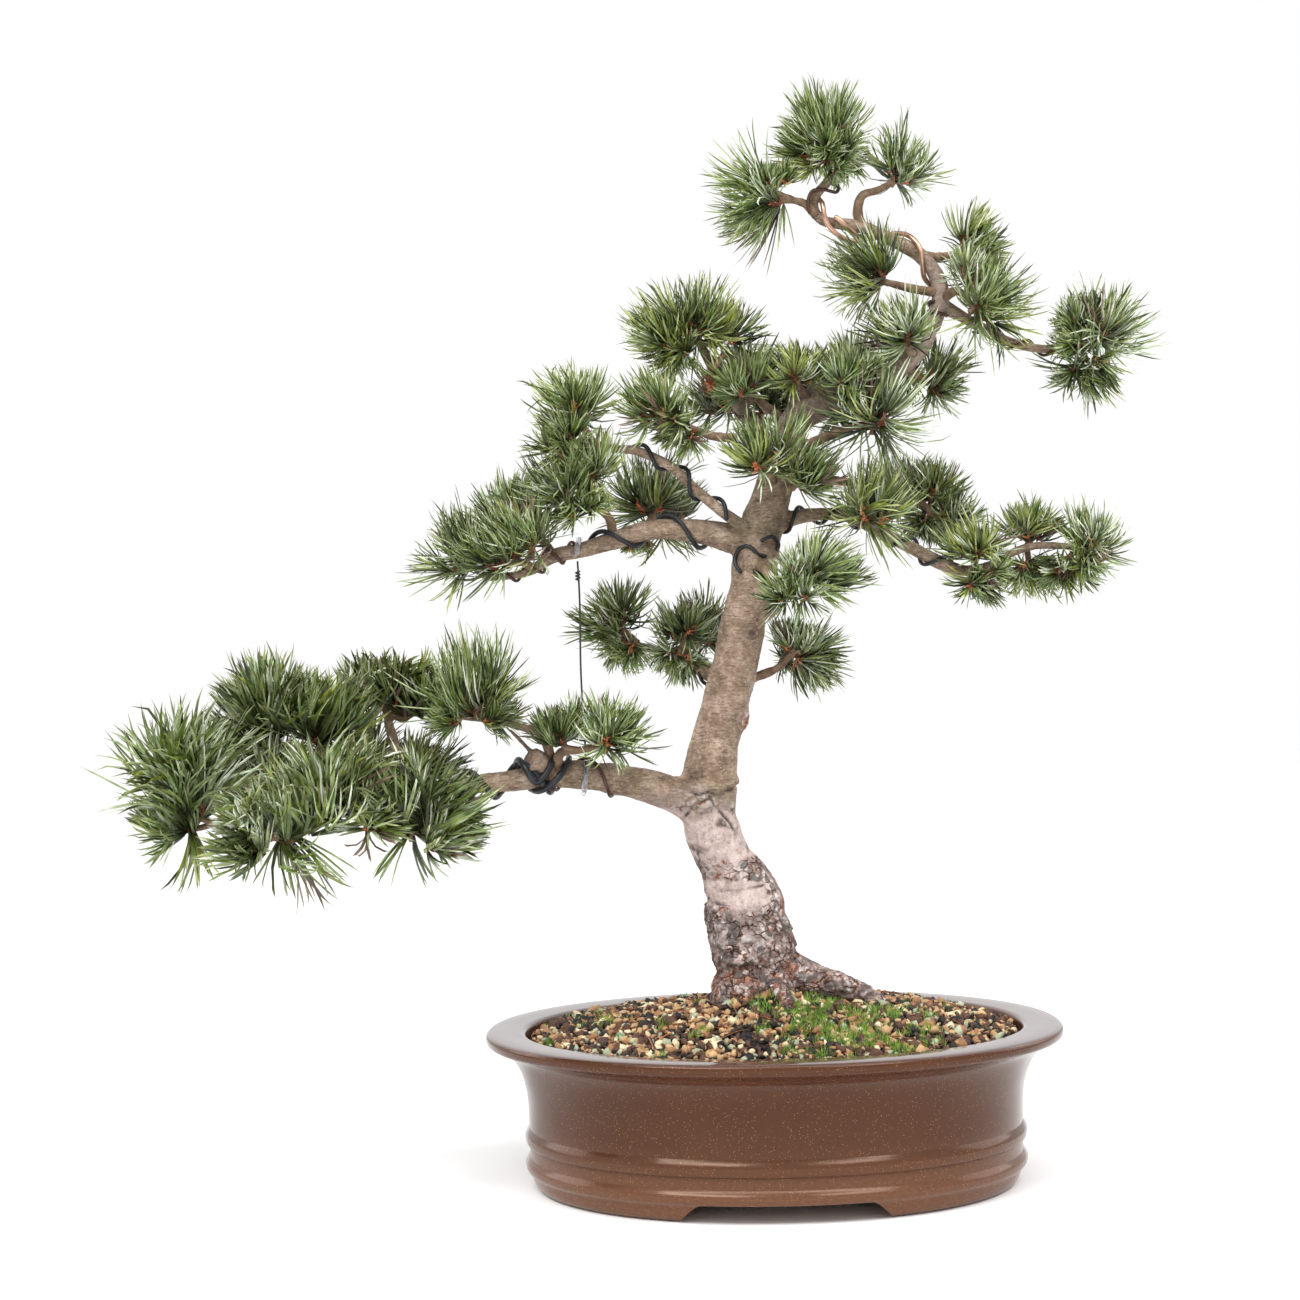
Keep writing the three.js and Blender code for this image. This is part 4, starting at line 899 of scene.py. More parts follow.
def needle_arrays(root, aim, bend, outward, length, width, stations=NEEDLE_STEPS, widths=NEEDLE_WIDTHS):
    """Three-sided curved needles: vertices, triangles and a face kind, 0 outside and 1 inside."""
    count, rings = len(root), len(stations) - 1
    line, tangent = needle_lines(root, aim, bend, length, stations)
    out = unit(outward[:, None] - tangent * np.einsum("ik,ijk->ij", outward, tangent)[..., None])
    side = np.cross(tangent, out)
    half = (width[:, None] * widths / 2)[..., None]
    corners = [side * 1.0 + out * 0.25, -side * 1.0 + out * 0.25, -out * 0.75]
    skin = np.stack([line[:, :rings] + c[:, :rings] * half for c in corners], 2).reshape(count, 3 * rings, 3)
    verts = np.concatenate([skin, line[:, rings:]], 1).reshape(-1, 3)
    faces, kinds = [], []
    for r, i in itertools.product(range(rings), range(3)):
        a, b = r * 3 + i, r * 3 + (i + 1) % 3
        side_faces = [[a, b, b + 3], [a, b + 3, a + 3]] if r < rings - 1 else [[a, b, 3 * rings]]
        faces += side_faces
        kinds += [int(i > 0)] * len(side_faces)
    faces.append([0, 2, 1])
    kinds.append(1)
    return verts, copies(faces, 3 * rings + 1, count)[:, ::-1], np.tile(kinds, count)


def around(aim, angle, turn):
    """Directions that lean from aim by an angle, at a turn about it."""
    side = unit(np.cross(aim, [0.0, 1.0, 0.05]))
    other = np.cross(aim, side)
    lean = side * np.cos(turn)[:, None] + other * np.sin(turn)[:, None]
    return aim * np.cos(angle)[:, None] + lean * np.sin(angle)[:, None], lean


def clear_of_limbs(points, margin):
    best, apart = nearest_station(points)
    return apart > STATIONS[best, 3] + margin


GOLDEN = math.pi * (3 - math.sqrt(5))
# Long loose bundles under the low bough's masses: place [x, z, depth], aim and length.
HANGING = [[-337, 242, -100, 0.7, -0.2, -0.8, 76], [-339, 242, -100, -0.45, -0.2, -0.9, 54],
           [-338, 240, -100, 0, -0.1, -1, 66], [-338, 240, -100, 0.3, -0.1, -1, 74],
           [-403, 250, -76, 0.05, -0.1, -1, 60], [-402, 250, -76, 0.35, -0.1, -1, 62],
           [-410, 252, -76, -0.6, -0.1, -0.7, 54], [-246, 242, -80, 0.9, -0.2, -0.5, 76],
           [-249, 240, -80, -0.2, -0.2, -1, 50], [-244, 244, -80, 1, -0.2, -0.1, 74]]
# The masses on the low bough that bear long needles.
STRONG_MASSES = ("far_left", "left_crest", "left_front", "left_fan", "left_middle", "left_near", "left_top")
BUDS_PER_SHOOT = 4
BUNDLES_PER_BUD = 15
BUNDLE = 5
NEEDLES_PER_PIECE = 8500


class Foliage:
    def __init__(self):
        self.needles = {family: [] for family in FAMILIES}
        self.twigs, self.scales = Soup(), Soup()
        self.rng = np.random.default_rng(77)

    def twig(self, points, radii, sides, step=3.0):
        line = smooth_line(np.column_stack([points, radii]), step)
        bumps = 1 + 0.14 * value_noise(line[:, :3] / 2.6, 8)
        self.twigs.add(*tube(line[:, :3], line[:, 3] * bumps, sides))

    def scale_leaves(self, at, aim, length, count=15):
        """Rusty bud scales round the foot of a tuft."""
        rng = self.rng
        turn = np.arange(count) * GOLDEN + rng.random()
        lean, out = around(np.repeat(aim[None], count, 0), rng.uniform(0.25, 1.45, count), turn)
        root = at + np.outer(np.linspace(0, length, count), aim)
        verts, faces, _ = needle_arrays(root, lean, -0.25 * out, out, rng.uniform(3.5, 8, count),
                                        rng.uniform(1.5, 2.8, count), SCALE_STEPS, SCALE_WIDTHS)
        self.scales.add(verts, faces, int(rng.random() < 0.5))

    def bud(self, at, aim, length, spread, family, bundles, strong):
        """One bud of a shoot: bundles of five needles in a spiral along its last stretch."""
        rng = self.rng
        share = (np.arange(bundles) + rng.random(bundles)) / bundles
        angle = spread * 1.06 * (1 - share) ** 0.85 + rng.uniform(0.0, 0.18, bundles)
        turn = np.arange(bundles) * GOLDEN + rng.uniform(0, 6) + rng.normal(0, 0.35, bundles)
        heading, lean = around(np.repeat(aim[None], bundles, 0), angle, turn)
        least, swing, stray = (0.82, 0.17, 1.08) if strong else (0.6, 0.36, 1.2)
        reach = (least + swing * rng.beta(2.2, 1.6, bundles)) * length * (1 - 0.2 * share)
        reach = reach * (1 + 0.1 * np.sin(turn + rng.uniform(0, 6)))
        reach = reach * (1 - 0.1 * ramp(-heading[:, 2], 0.1, 0.6))
        reach = reach * np.where(rng.random(bundles) < 0.08, stray, 1.0)
        foot = at + aim * (share[:, None] * 0.3 - 0.08) * length * (bundles > 4) + lean * 1.6
        splay = rng.uniform(0.05, 0.26 if strong else 0.36, (bundles, BUNDLE))
        roll = circle(BUNDLE)[None] + rng.uniform(0, 6, (bundles, 1))
        aims, outs = around(np.repeat(heading, BUNDLE, 0), splay.ravel(), roll.ravel())
        high = ramp(heading[:, 2:], 0.2, 0.8)
        low = ramp(heading[:, 2:], -0.6, 0.0)
        lifts = rng.uniform(0.15, 0.85, (bundles, 1)) * np.sin(angle)[:, None] * (0.25 + 0.75 * low)
        combed = noise_vectors((foot + heading * length * 0.6) / (0.8 * length), 31)
        if strong:
            bends = (UP * 0.9 + aim * 0.3) * lifts * (1 - high) * 1.7 + combed * 0.7
            bends = bends + (lean * 0.4 - UP * 0.3) * high * rng.random((bundles, 1))
        else:
            bends = (UP * 0.8 + aim * 0.5) * lifts + combed * 0.45
        bends = bends + rng.normal(0, 0.1 if strong else 0.13, (bundles, 3))
        bends = np.repeat(bends, BUNDLE, 0) + rng.normal(0, 0.13, (bundles * BUNDLE, 3))
        lengths = np.repeat(reach, BUNDLE) * rng.uniform(0.9 if strong else 0.8, 1.08, bundles * BUNDLE)
        roots = np.repeat(foot, BUNDLE, 0) + outs * 0.35
        widths = rng.uniform(1.0, 1.4, bundles * BUNDLE) * (1.6 if strong else 1)
        line, _ = needle_lines(roots, aims, bends, lengths)
        keep = clear_of_limbs(line[:, -1], 1.2)
        keep &= clear_of_limbs(line[:, 2], 1.0) & clear_of_limbs(line[:, 3], 1.0)
        # Few needles hang under a strong bud.
        kept = rng.random(bundles) < 1 - (0.75 if strong else 0.1) * ramp(-heading[:, 2], 0.05, 0.5)
        keep &= np.repeat(kept | (bundles < 5), BUNDLE)
        kinds = np.where(rng.random(bundles) < (0.3 if strong else 0.55), FAMILIES.index(family),
                         rng.choice(len(FAMILIES), bundles, p=FAMILY_SHARES))
        kinds = np.repeat(kinds, BUNDLE)
        for k, name in enumerate(FAMILIES):
            chosen = keep & (kinds == k)
            self.needles[name].append([a[chosen] for a in (roots, aims, bends, outs, lengths, widths)])

    def shoot(self, foot, at, aim, length, spread, strong, fresh):
        """A shoot's end: a bud on its aim and others round it on short side twigs."""
        rng = self.rng
        turn = rng.uniform(0, 6)
        shares = np.array(FAMILY_SHARES) + np.array([-0.12, 0.02, 0, 0.1, 0]) * ramp(at[0] + at[2], 560, 640)
        if fresh:
            shares = shares + (-0.05, -0.05, 0.22, -0.1, -0.02)
        if strong:
            shares = shares + (-0.1, 0.16, -0.06, 0.02, -0.02)
        for k in range(BUDS_PER_SHOOT):
            if k == 0:
                heading, base = aim, at + aim * 2
            else:
                lean, out = around(aim[None], np.array([1.15]), np.array([turn + k * 2 * np.pi / 3]))
                base = at + lean[0] * rng.uniform(6, 14 if strong else 11)
                apart = rng.uniform(0.4, 0.65) * min(1.0, spread / 1.6) * (0.55 if strong else 1)
                heading = unit(aim * 0.75 + out[0] * apart + UP * (0.25 if strong else 0.15))
                self.twig([at - aim * 2, at + lean[0] * 3, base + heading * 5], [1.7, 1.5, 1.2], 5)
            family = rng.choice(FAMILIES[:4], p=shares[:4] / shares[:4].sum())
            self.bud(base, heading, length, spread, family, BUNDLES_PER_BUD + (6 if strong else 0), strong)
            self.scale_leaves(base - heading * 4, heading, 8)
        self.twig([foot, at - aim * 2, at + aim * 6], [2.2, 2.1, 1.5], 7)

    def mass(self, name):
        places, shoots = MASSES[name]
        strong = name in STRONG_MASSES
        stem = [seen(*place) for place in places]
        ends = [seen(*shoot[:3]) for shoot in shoots]
        thick = min(2.6 + 0.35 * len(stem), 4.0)
        points = np.array([*stem, ends[0]])
        self.twig(points, np.linspace(thick, 2.0, len(points)), 10, 2.0)
        for shoot, at in zip(shoots, ends):
            aim = unit(np.array(shoot[3:6], float))
            foot = stem[-1] if at is not ends[0] else at - aim * 5
            self.shoot(foot, at, aim, shoot[6], math.radians(shoot[7]), strong, name in FRESH_MASSES)

    def hanging(self, at, aim, length):
        """Two long bundles that hang away from a strong tuft."""
        self.bud(at + UP * 6, unit(aim), length, 0.5, "mid", 2, True)

    def old_bud(self, at):
        """A knot of brown scales that hangs from its twig."""
        self.twig([at + [9, 6, 12], at + [4, 2, 5], at], [2.2, 3.0, 4.0], 8)
        for k in range(4):
            self.scale_leaves(at - UP * (1 + 2 * k), unit(np.array([-0.3, -0.5, -0.8])), 4, 16)

    def build(self):
        for name in MASSES:
            self.mass(name)
        self.old_bud(seen(-33, 564, -14))
        for x, z, depth, *aim, length in HANGING:
            self.hanging(seen(x, z, depth), np.array(aim, float), length)
        wood = mottled("twig_bark", 160, ((84, 64, 48), (122, 100, 78), (146, 126, 104)), 0.85, 0.5)
        verts, faces, _ = self.twigs.arrays()
        mesh_piece("twigs", verts, faces, [wood])
        rust = [mottled("bud_scale_light", 300, ((176, 96, 54), (212, 138, 92)), 0.6),
                mottled("bud_scale_dark", 300, ((100, 56, 38), (148, 86, 54)), 0.65)]
        verts, faces, kinds = self.scales.arrays()
        mesh_piece("bud_scales", verts, faces, rust, kinds, smooth=False)
        # Each family's dark and light outside, then its pale and white inside.
        greens = {
            "deep": ((22, 32, 8), (64, 80, 24), (74, 90, 42), (142, 156, 104)),
            "mid": ((52, 70, 18), (118, 138, 50), (112, 132, 72), (190, 203, 160)),
            "fresh": ((84, 96, 26), (156, 164, 62), (130, 142, 74), (202, 208, 150)),
            "silver": ((72, 86, 40), (144, 158, 92), (166, 180, 148), (236, 240, 224)),
            "dry": ((74, 56, 44), (116, 90, 70), (112, 92, 76), (158, 136, 118)),
        }
        for family, (dark, light, pale, white) in greens.items():
            outer = needle_paint("needle_outer_" + family, dark, light, 0.42)
            inner = needle_paint("needle_inner_" + family, pale, white, 0.5)
            parts = [np.concatenate(column) for column in zip(*self.needles[family])]
            for k, start in enumerate(range(0, len(parts[0]), NEEDLES_PER_PIECE)):
                part = [column[start:start + NEEDLES_PER_PIECE] for column in parts]
                verts, faces, kinds = needle_arrays(*part)
                replaced = list(MASSES) if family == FAMILIES[0] and k == 0 else ()
                piece = mesh_piece(f"needles_{family}_{k}", verts, faces, [outer, inner], kinds, smooth=False,
                                   replaced=replaced)
                along = np.append(np.repeat(NEEDLE_STEPS[:-1], 3), 1.0)
                spread_values(piece, "along", np.tile(along, len(part[0])))


# The pot: a fine oval skin with two ribs, a rolled lip and two feet.

POT_LENGTH, POT_WIDTH = 400.0, 320.0
OVAL_POWER = 2.1
WIDTH_STEP = (POT_LENGTH - POT_WIDTH) / 2
FOOT_HEIGHT = 13.0
FOOT_GAP = 116.0
UNDER = -4.0  # a level under the pot, where the cutters start
RIB_REACH = 3.1
LIP_FROM = 106.5  # the level where the lip's polished top starts
WALL = 170.9  # half the wall's length at its foot
FLOOR = 84.0  # the level where the shell is closed under the grit


def oval(half_length, z, sides=180):
    angle = circle(sides)
    x, y = (half * np.sign(way) * np.abs(way) ** (2 / OVAL_POWER)
            for half, way in ((half_length, np.cos(angle)), (half_length - WIDTH_STEP, np.sin(angle))))
    return np.stack([x, y, np.full(sides, z)], 1)


def rib(z, half):
    """A low band: half-round below, with a longer slope above."""
    below = [[math.sqrt(max(0.0, 1 - v * v)), 1.1 * v] for v in np.linspace(-1, 0, 8)]
    above = [[1 - v**1.4, 0.9 * v] for v in np.linspace(0.1, 1, 10)]
    return [[WALL + RIB_REACH * out, z + half * (0.1 + rise)] for out, rise in below + above]


def rounded(profile, step=2.2):
    """Even stations along a smooth profile of [half length, height]."""
    return smooth_line([[a, 0, z] for a, z in profile], step)[:, [0, 2]]


POT_OUTSIDE = [
    *rounded([[160, 0], [163.5, 0.4], [166.4, 2.2], [168.4, 5.4], [169.5, 9], [170.2, 11.4]], 1.2),
    *rib(17.4, 5.2), [WALL, 24.4], [171, 28.8], *rib(36.2, 6),
    *rounded([[171.2, 43.8], [171.4, 50], [171.8, 60], [172.8, 68], [174.8, 76], [177.6, 83.5], [181.4, 90],
              [186, 94.8], [191, 97.8], [195, 99.2]]),
    *rounded([[197.2, 99.9], [199.2, 101.3], [200, 103.8], [199.7, 106.2], [198, 107.8], [194, 108.4]], 0.9),
]
POT_INSIDE = [
    *rounded([[186, 108.3], [178, 108], [174.4, 107.7], [172.6, 106.6], [171.9, 104.4], [170.5, 100]], 1.4),
    [169, 96], [166, 86],
]


def build_pot():
    rings = [oval(a, z) for a, z in POT_OUTSIDE + POT_INSIDE]
    sides = len(rings[0])
    rings += [oval(150, FLOOR), oval(60, FLOOR)]
    verts = np.vstack([*rings, [[0, 0, 0.0], [0, 0, FLOOR]]])
    faces = rings_to_faces(len(rings), sides)
    on_top = (verts[faces][:, :, 2].min(1) > LIP_FROM).astype(int)
    paints = [clay("stoneware", (0.66, 0.48, 0.38), 0.13, 0.22, 1.5, 0.0),
              clay("stoneware_rim", (1.0, 0.93, 1.0), 0.1, 0.18, 1.9, 0.5)]
    body = mesh_piece("pot_shell", verts, faces, paints, on_top, replaced=["pot"])
    recess = np.vstack([oval(140, UNDER), oval(140, FOOT_HEIGHT - 1.5), oval(138, FOOT_HEIGHT),
                        [[0, 0, UNDER], [0, 0, FOOT_HEIGHT]]])
    cutters = [mesh_piece("recess", recess, rings_to_faces(3, sides), [])]
    half = FOOT_GAP / 2
    outline = rounded([[half + 15, UNDER], [half + 11.5, 0], [half + 9.5, 2.5], [half + 4, 8.5],
                       [half - 2, 12.4], [half - 10, FOOT_HEIGHT]], 1.5)
    outline = np.vstack([outline, (outline * [-1, 1])[::-1]])
    past = POT_WIDTH / 2 + 10
    rings = [np.insert(outline, 1, y, axis=1) for y in (past, -past)]
    ends = [ring.mean(0) for ring in rings]
    cutters.append(mesh_piece("foot_gap", np.vstack([*rings, *ends]), rings_to_faces(2, len(outline)), []))
    for cutter in cutters:
        cut = body.modifiers.new("cut", "BOOLEAN")
        cut.operation = "DIFFERENCE"
        cut.object = cutter
        cut.solver = "EXACT"
    shaped = bpy.data.meshes.new_from_object(body.evaluated_get(bpy.context.evaluated_depsgraph_get()))
    body.modifiers.clear()
    body.data = shaped
    for cutter in cutters:
        bpy.data.objects.remove(cutter)
    shaped.set_sharp_from_angle(angle=math.radians(42))


# The grit: a dark bed, pebbles of several colours, moss and dead needles.

MOUND_X, MOUND_LENGTH, MOUND_WIDTH, MOUND_EDGE = 12.0, 70.0, 44.0, 170.0
SOIL_EDGE, GROUND = 105.0, 124.0
GRIT_RELIEF, GRIT_PITCH = 1.6, 27.0
BED_EDGE, PEBBLE_EDGE, LITTER_EDGE = 169.5, 169.0, 166.0  # half the ovals' lengths


def oval_share(x, y, half_length):
    """How places lie in an oval like the pot's: under 1 inside it, over 1 outside."""
    return np.abs(x / half_length) ** OVAL_POWER + np.abs(y / (half_length - WIDTH_STEP)) ** OVAL_POWER


def soil_height(x, y):
    """The top of the grit: up from the pot's wall to a level oval round the trunk, with low lumps."""
    edge = oval_share(x, y, MOUND_EDGE) ** (1 / OVAL_POWER)
    crown = np.sqrt(((x - MOUND_X) / MOUND_LENGTH) ** 2 + (y / MOUND_WIDTH) ** 2)
    inside = np.clip(1 - edge, 0, 1)
    t = np.clip(inside / (inside + 0.45 * np.clip(crown - 1, 1e-3, None)), 0, 1)
    t = np.where(crown < 1, 1.0, t)
    wave = np.pi / GRIT_PITCH
    lump = 0.5 + 0.5 * np.sin(x * wave + 1) * np.sin(y * wave + 0.6 + x * 0.01)
    lump = lump * (crown > 1) * (edge < 1)
    bank = 12 * hump(x, y, (2, -40), (38, 16))
    return SOIL_EDGE + (GROUND - SOIL_EDGE) * np.sin(t * np.pi / 2) - GRIT_RELIEF * lump + bank


def on_soil(count, rng, spread=0.985):
    """Random places on the soil."""
    half_width = MOUND_EDGE - WIDTH_STEP
    x, y = rng.uniform(-MOUND_EDGE, MOUND_EDGE, count), rng.uniform(-half_width, half_width, count)
    keep = oval_share(x, y, PEBBLE_EDGE) < spread
    return x[keep], y[keep]


def pebble_shape():
    """A ball of 32 triangles."""
    corners = [sign * axis for axis in np.eye(3) for sign in (1, -1)]
    middles, faces = {}, []

    def half_way(a, b):
        key = (min(a, b), max(a, b))
        if key not in middles:
            corners.append(unit(corners[a] + corners[b]))
            middles[key] = len(corners) - 1
        return middles[key]

    for a, b, c in ((0, 2, 4), (2, 1, 4), (1, 3, 4), (3, 0, 4), (2, 0, 5), (1, 2, 5), (3, 1, 5), (0, 3, 5)):
        ab, bc, ca = half_way(a, b), half_way(b, c), half_way(c, a)
        faces += [[a, ab, ca], [ab, b, bc], [ca, bc, c], [ab, bc, ca]]
    return np.array(corners), np.array(faces)


def random_turns(rng, count):
    """Matrices that turn at random."""
    w, x, y, z = unit(rng.normal(size=(count, 4))).T
    rows = [1 - 2 * (y * y + z * z), 2 * (x * y + z * w), 2 * (x * z - y * w),
            2 * (x * y - z * w), 1 - 2 * (x * x + z * z), 2 * (y * z + x * w),
            2 * (x * z + y * w), 2 * (y * z - x * w), 1 - 2 * (x * x + y * y)]
    return np.stack(rows, 1).reshape(count, 3, 3)


def build_pebbles(rng):
    shape, faces = pebble_shape()
    x, y = on_soil(7800, rng)
    size = rng.uniform(1.5, 3.1, len(x)) * np.where(rng.random(len(x)) < 0.14, 1.45, 1)
    at = np.stack([x, y, soil_height(x, y) - 1.8 + size * rng.uniform(-0.3, 0.4, len(x))], 1)
    keep = clear_of_limbs(at, -3) & ((at[:, 0] + 10) ** 2 + at[:, 1] ** 2 > 26**2)
    at, size = at[keep], size[keep]
    count = len(at)
    lumps = shape[None] * (1 + 0.2 * rng.normal(size=(count, len(shape), 1)))
    lumps = lumps * rng.uniform([1.0, 0.7, 0.45], [1.35, 1.0, 0.85], (count, 3))[:, None]
    verts = at[:, None] + size[:, None, None] * np.einsum("nij,nkj->nki", random_turns(rng, count), lumps)
    # Each shade's share of the pebbles, then its dark and light tone.
    shades = {
        "tan": (0.24, (150, 114, 76), (202, 168, 122)),
        "cream": (0.07, (200, 178, 136), (228, 214, 182)),
        "grey_green": (0.09, (132, 140, 112), (178, 184, 156)),
        "ochre": (0.15, (126, 88, 58), (168, 122, 82)),
        "umber": (0.34, (56, 34, 22), (98, 64, 43)),
        "black": (0.24, (13, 9, 7), (32, 24, 19)),
    }
    shares = np.array([share for share, _, _ in shades.values()])
    chosen = rng.choice(len(shades), count, p=shares / sum(shares))
    for k, (name, (_, dark, light)) in enumerate(shades.items()):
        part = verts[chosen == k]
        paint = mottled("grit_" + name, 110, (dark, light), 0.72, 0.3)
        skin = copies(faces, len(shape), len(part))
        mesh_piece("grit_" + name, part.reshape(-1, 3), skin, [paint])


def build_bed():
    rings, sides = 70, 200
    share = np.linspace(0.0, 1, rings)[::-1]
    edge = oval(BED_EDGE, 0, sides)[:, :2]
    verts = []
    for s in share:
        x, y = edge[:, 0] * s, edge[:, 1] * s
        place = np.stack([x, y, x * 0], 1)
        z = soil_height(x, y) - 3.4 + 1.1 * value_noise(place / 5, 3) + 0.8 * value_noise(place / 2.3, 4)
        verts.append(np.stack([x, y, z], 1))
    verts = np.vstack([*verts, [[0, 0, FLOOR + 0.2], [0, 0, verts[-1][0, 2]]]])
    # The bed's near-black is partly the soil's own colour and partly painted shade for the gaps between the
    # pebbles.
    paint = mottled("soil_bed", 130, ((12, 8, 6), (28, 19, 14), (56, 41, 29)), 0.92, 0.6)
    mesh_piece("soil_bed", verts, rings_to_faces(rings, sides), [paint], replaced=["soil"])


def build_moss(rng):
    """Short bright tufts, most of them to the front and right of the trunk."""
    x, y = on_soil(5200, rng, 0.95)
    spot = np.stack([x, y, x * 0], 1)
    field = value_noise(spot / 13, 60) * 0.6 + value_noise(spot / 6, 61) * 0.4
    near_front = hump(x, y, (58, -80), (62, 46))
    near_foot = hump(x, y, (6, -44), (34, 26))
    keep = field + 1.0 * near_front + 0.45 * near_foot > 0.5 + 0.5 * rng.random(len(x))
    keep |= field > 0.42 + 0.5 * rng.random(len(x))
    x, y = x[keep], y[keep]
    blades = 13
    x = np.repeat(x, blades) + rng.normal(0, 1.5, len(x) * blades)
    y = np.repeat(y, blades) + rng.normal(0, 1.5, len(y) * blades)
    count = len(x)
    root = np.stack([x, y, soil_height(x, y) - 2.4], 1)
    aim = unit(np.stack([rng.normal(0, 0.34, count), rng.normal(0, 0.34, count), np.ones(count)], 1))
    length, width = rng.uniform(3.4, 8.2, count), rng.uniform(0.6, 1.05, count)
    side = unit(np.cross(aim, rng.normal(size=(count, 3))))
    other = np.cross(aim, side)
    corners = [side * 0.5, -side * 0.3 + other * 0.45, -side * 0.3 - other * 0.45]
    foot = np.stack([root + c * width[:, None] for c in corners], 1)
    verts = np.concatenate([foot, (root + aim * length[:, None])[:, None]], 1).reshape(-1, 3)
    faces = copies([[0, 1, 3], [1, 2, 3], [2, 0, 3], [0, 2, 1]], 4, count)
    paints = [mottled("moss_light", 150, ((104, 140, 44), (156, 186, 82)), 0.7),
              mottled("moss_deep", 150, ((66, 98, 34), (112, 146, 56)), 0.7)]
    kinds = np.repeat(np.repeat(rng.random(count // blades) < 0.45, blades), 4).astype(int)
    mesh_piece("moss", verts, faces, paints, kinds, smooth=False)


def build_litter(rng):
    x, y = on_soil(230, rng, 0.9)
    count = len(x)
    turn = rng.uniform(0, 2 * np.pi, count)
    aim = np.stack([np.cos(turn), np.sin(turn), rng.uniform(-0.02, 0.14, count)], 1)
    length = rng.uniform(9, 30, count)
    root = np.stack([x, y, soil_height(x, y) + rng.uniform(-0.2, 1.4, count)], 1)
    end = root + aim * length[:, None]
    held = (oval_share(end[:, 0], end[:, 1], LITTER_EDGE) < 1) & clear_of_limbs(end, 2)
    up = np.repeat(UP[None], count, 0)
    drop = soil_height(end[:, 0], end[:, 1]) - 0.6 - end[:, 2]
    bend = np.stack([rng.normal(0, 0.06, count), rng.normal(0, 0.06, count), drop / length], 1)
    columns = (root, aim, bend, up, length, rng.uniform(0.7, 1.2, count))
    verts, faces, _ = needle_arrays(*[column[held] for column in columns])
    kinds = np.repeat(rng.random(held.sum()) < 0.5, len(faces) // held.sum()).astype(int)
    paints = [mottled("litter_rust", 200, ((128, 66, 34), (178, 106, 60)), 0.7),
              mottled("litter_brown", 200, ((70, 48, 36), (116, 84, 60)), 0.75)]
    mesh_piece("fallen_needles", verts, faces, paints, kinds, smooth=False)


# Training wires and the guy line.

POINTS_PER_TURN = 36


def coil(line_name, start_at, end_at, turns, start, radius, stand_off):
    """A wire wound on a limb, as a line of points; its angle is counted from the front."""
    line = smooth_line(LINES[line_name], 0.5)
    count = int(abs(turns) * POINTS_PER_TURN) + 8
    share = np.linspace(start_at, end_at, count)
    at = np.stack([np.interp(share * (len(line) - 1), np.arange(len(line)), line[:, c]) for c in range(4)], 1)
    along = unit(np.gradient(at[:, :3], axis=0))
    front = unit(FRONT - along * (along @ FRONT)[:, None])
    angle = 2 * np.pi * (start + turns * np.linspace(0, 1, count))[:, None]
    reach = (at[:, 3] * 1.03 + radius + stand_off * 0.35)[:, None]
    return at[:, :3] + reach * (front * np.cos(angle) + np.cross(along, front) * np.sin(angle))


def on_trunk(points, radius):
    """Places [x, z] as seen on the trunk's front, raised by a wire's radius."""
    spine = LIMBS["trunk"]
    heights = [p[1] for p in spine]
    course = []
    for x, z in points:
        middle, depth, reach = (np.interp(z, heights, [p[k] for p in spine]) for k in (0, 2, 3))
        reach = reach * 1.02 + radius
        course.append(seen(x, z, depth - math.sqrt(max(reach**2 - (x - middle) ** 2, 0.0))))
    return np.array(course)


def wire_piece(name, points, radius, paint, slot="black_wire", replaced=()):
    line = smooth_line(points, 0.8)
    radii = np.full(len(line), radius)
    radii[0] = radii[-1] = radius * 0.7
    verts, faces = tube(line, radii, 14)
    mesh_piece(name, verts, faces, [paint], replaced=replaced)


# Coils: limb, from and to as shares of its length, turns, start, radius, stand-off and metal. Those
# named fine_ take the place of solids; the others are too fine for them.
COILS = {
    "fine_wire_low": ("bough_low", 0.35, 0.62, 2, 0.43, 2.3, 1.3, "black"),
    "fine_wire_left": ("bough_left", 0.17, 0.62, 1.78, 0.62, 1.7, 1, "black"),
    "fine_wire_left_high": ("bough_left_high", 0.2, 0.92, 2.67, 0.91, 1.5, 0.8, "black"),
    "fine_wire_top": ("leader", 0.15, 0.71, 1.6, 0.49, 1.8, 1.6, "copper"),
    "wire_right": ("bough_right", 0.06, 0.62, -4.8, 0.37, 1.3, 0.4, "black"),
    "wire_right_high": ("bough_right_high", 0.3, 0.92, -2.6, 0.3, 1.1, 0.3, "brown"),
    "wire_back": ("bough_back", 0.2, 0.85, 3.2, 0.4, 1.3, 0.4, "black"),
    "wire_left_tip": ("bough_left", 0.68, 0.98, 3.2, 0.1, 1.1, 0.4, "brown"),
    "wire_low_fine": ("bough_low", 0.2, 0.52, 2.2, 0.55, 1.2, 0.4, "brown"),
    "wire_leader_low": ("leader", 0.03, 0.1, 1.3, 0.6, 1.3, 0.4, "brown"),
    "wire_crown": ("bough_crown", 0.1, 0.6, -2.4, 0.3, 1.1, 0.4, "brown"),
}
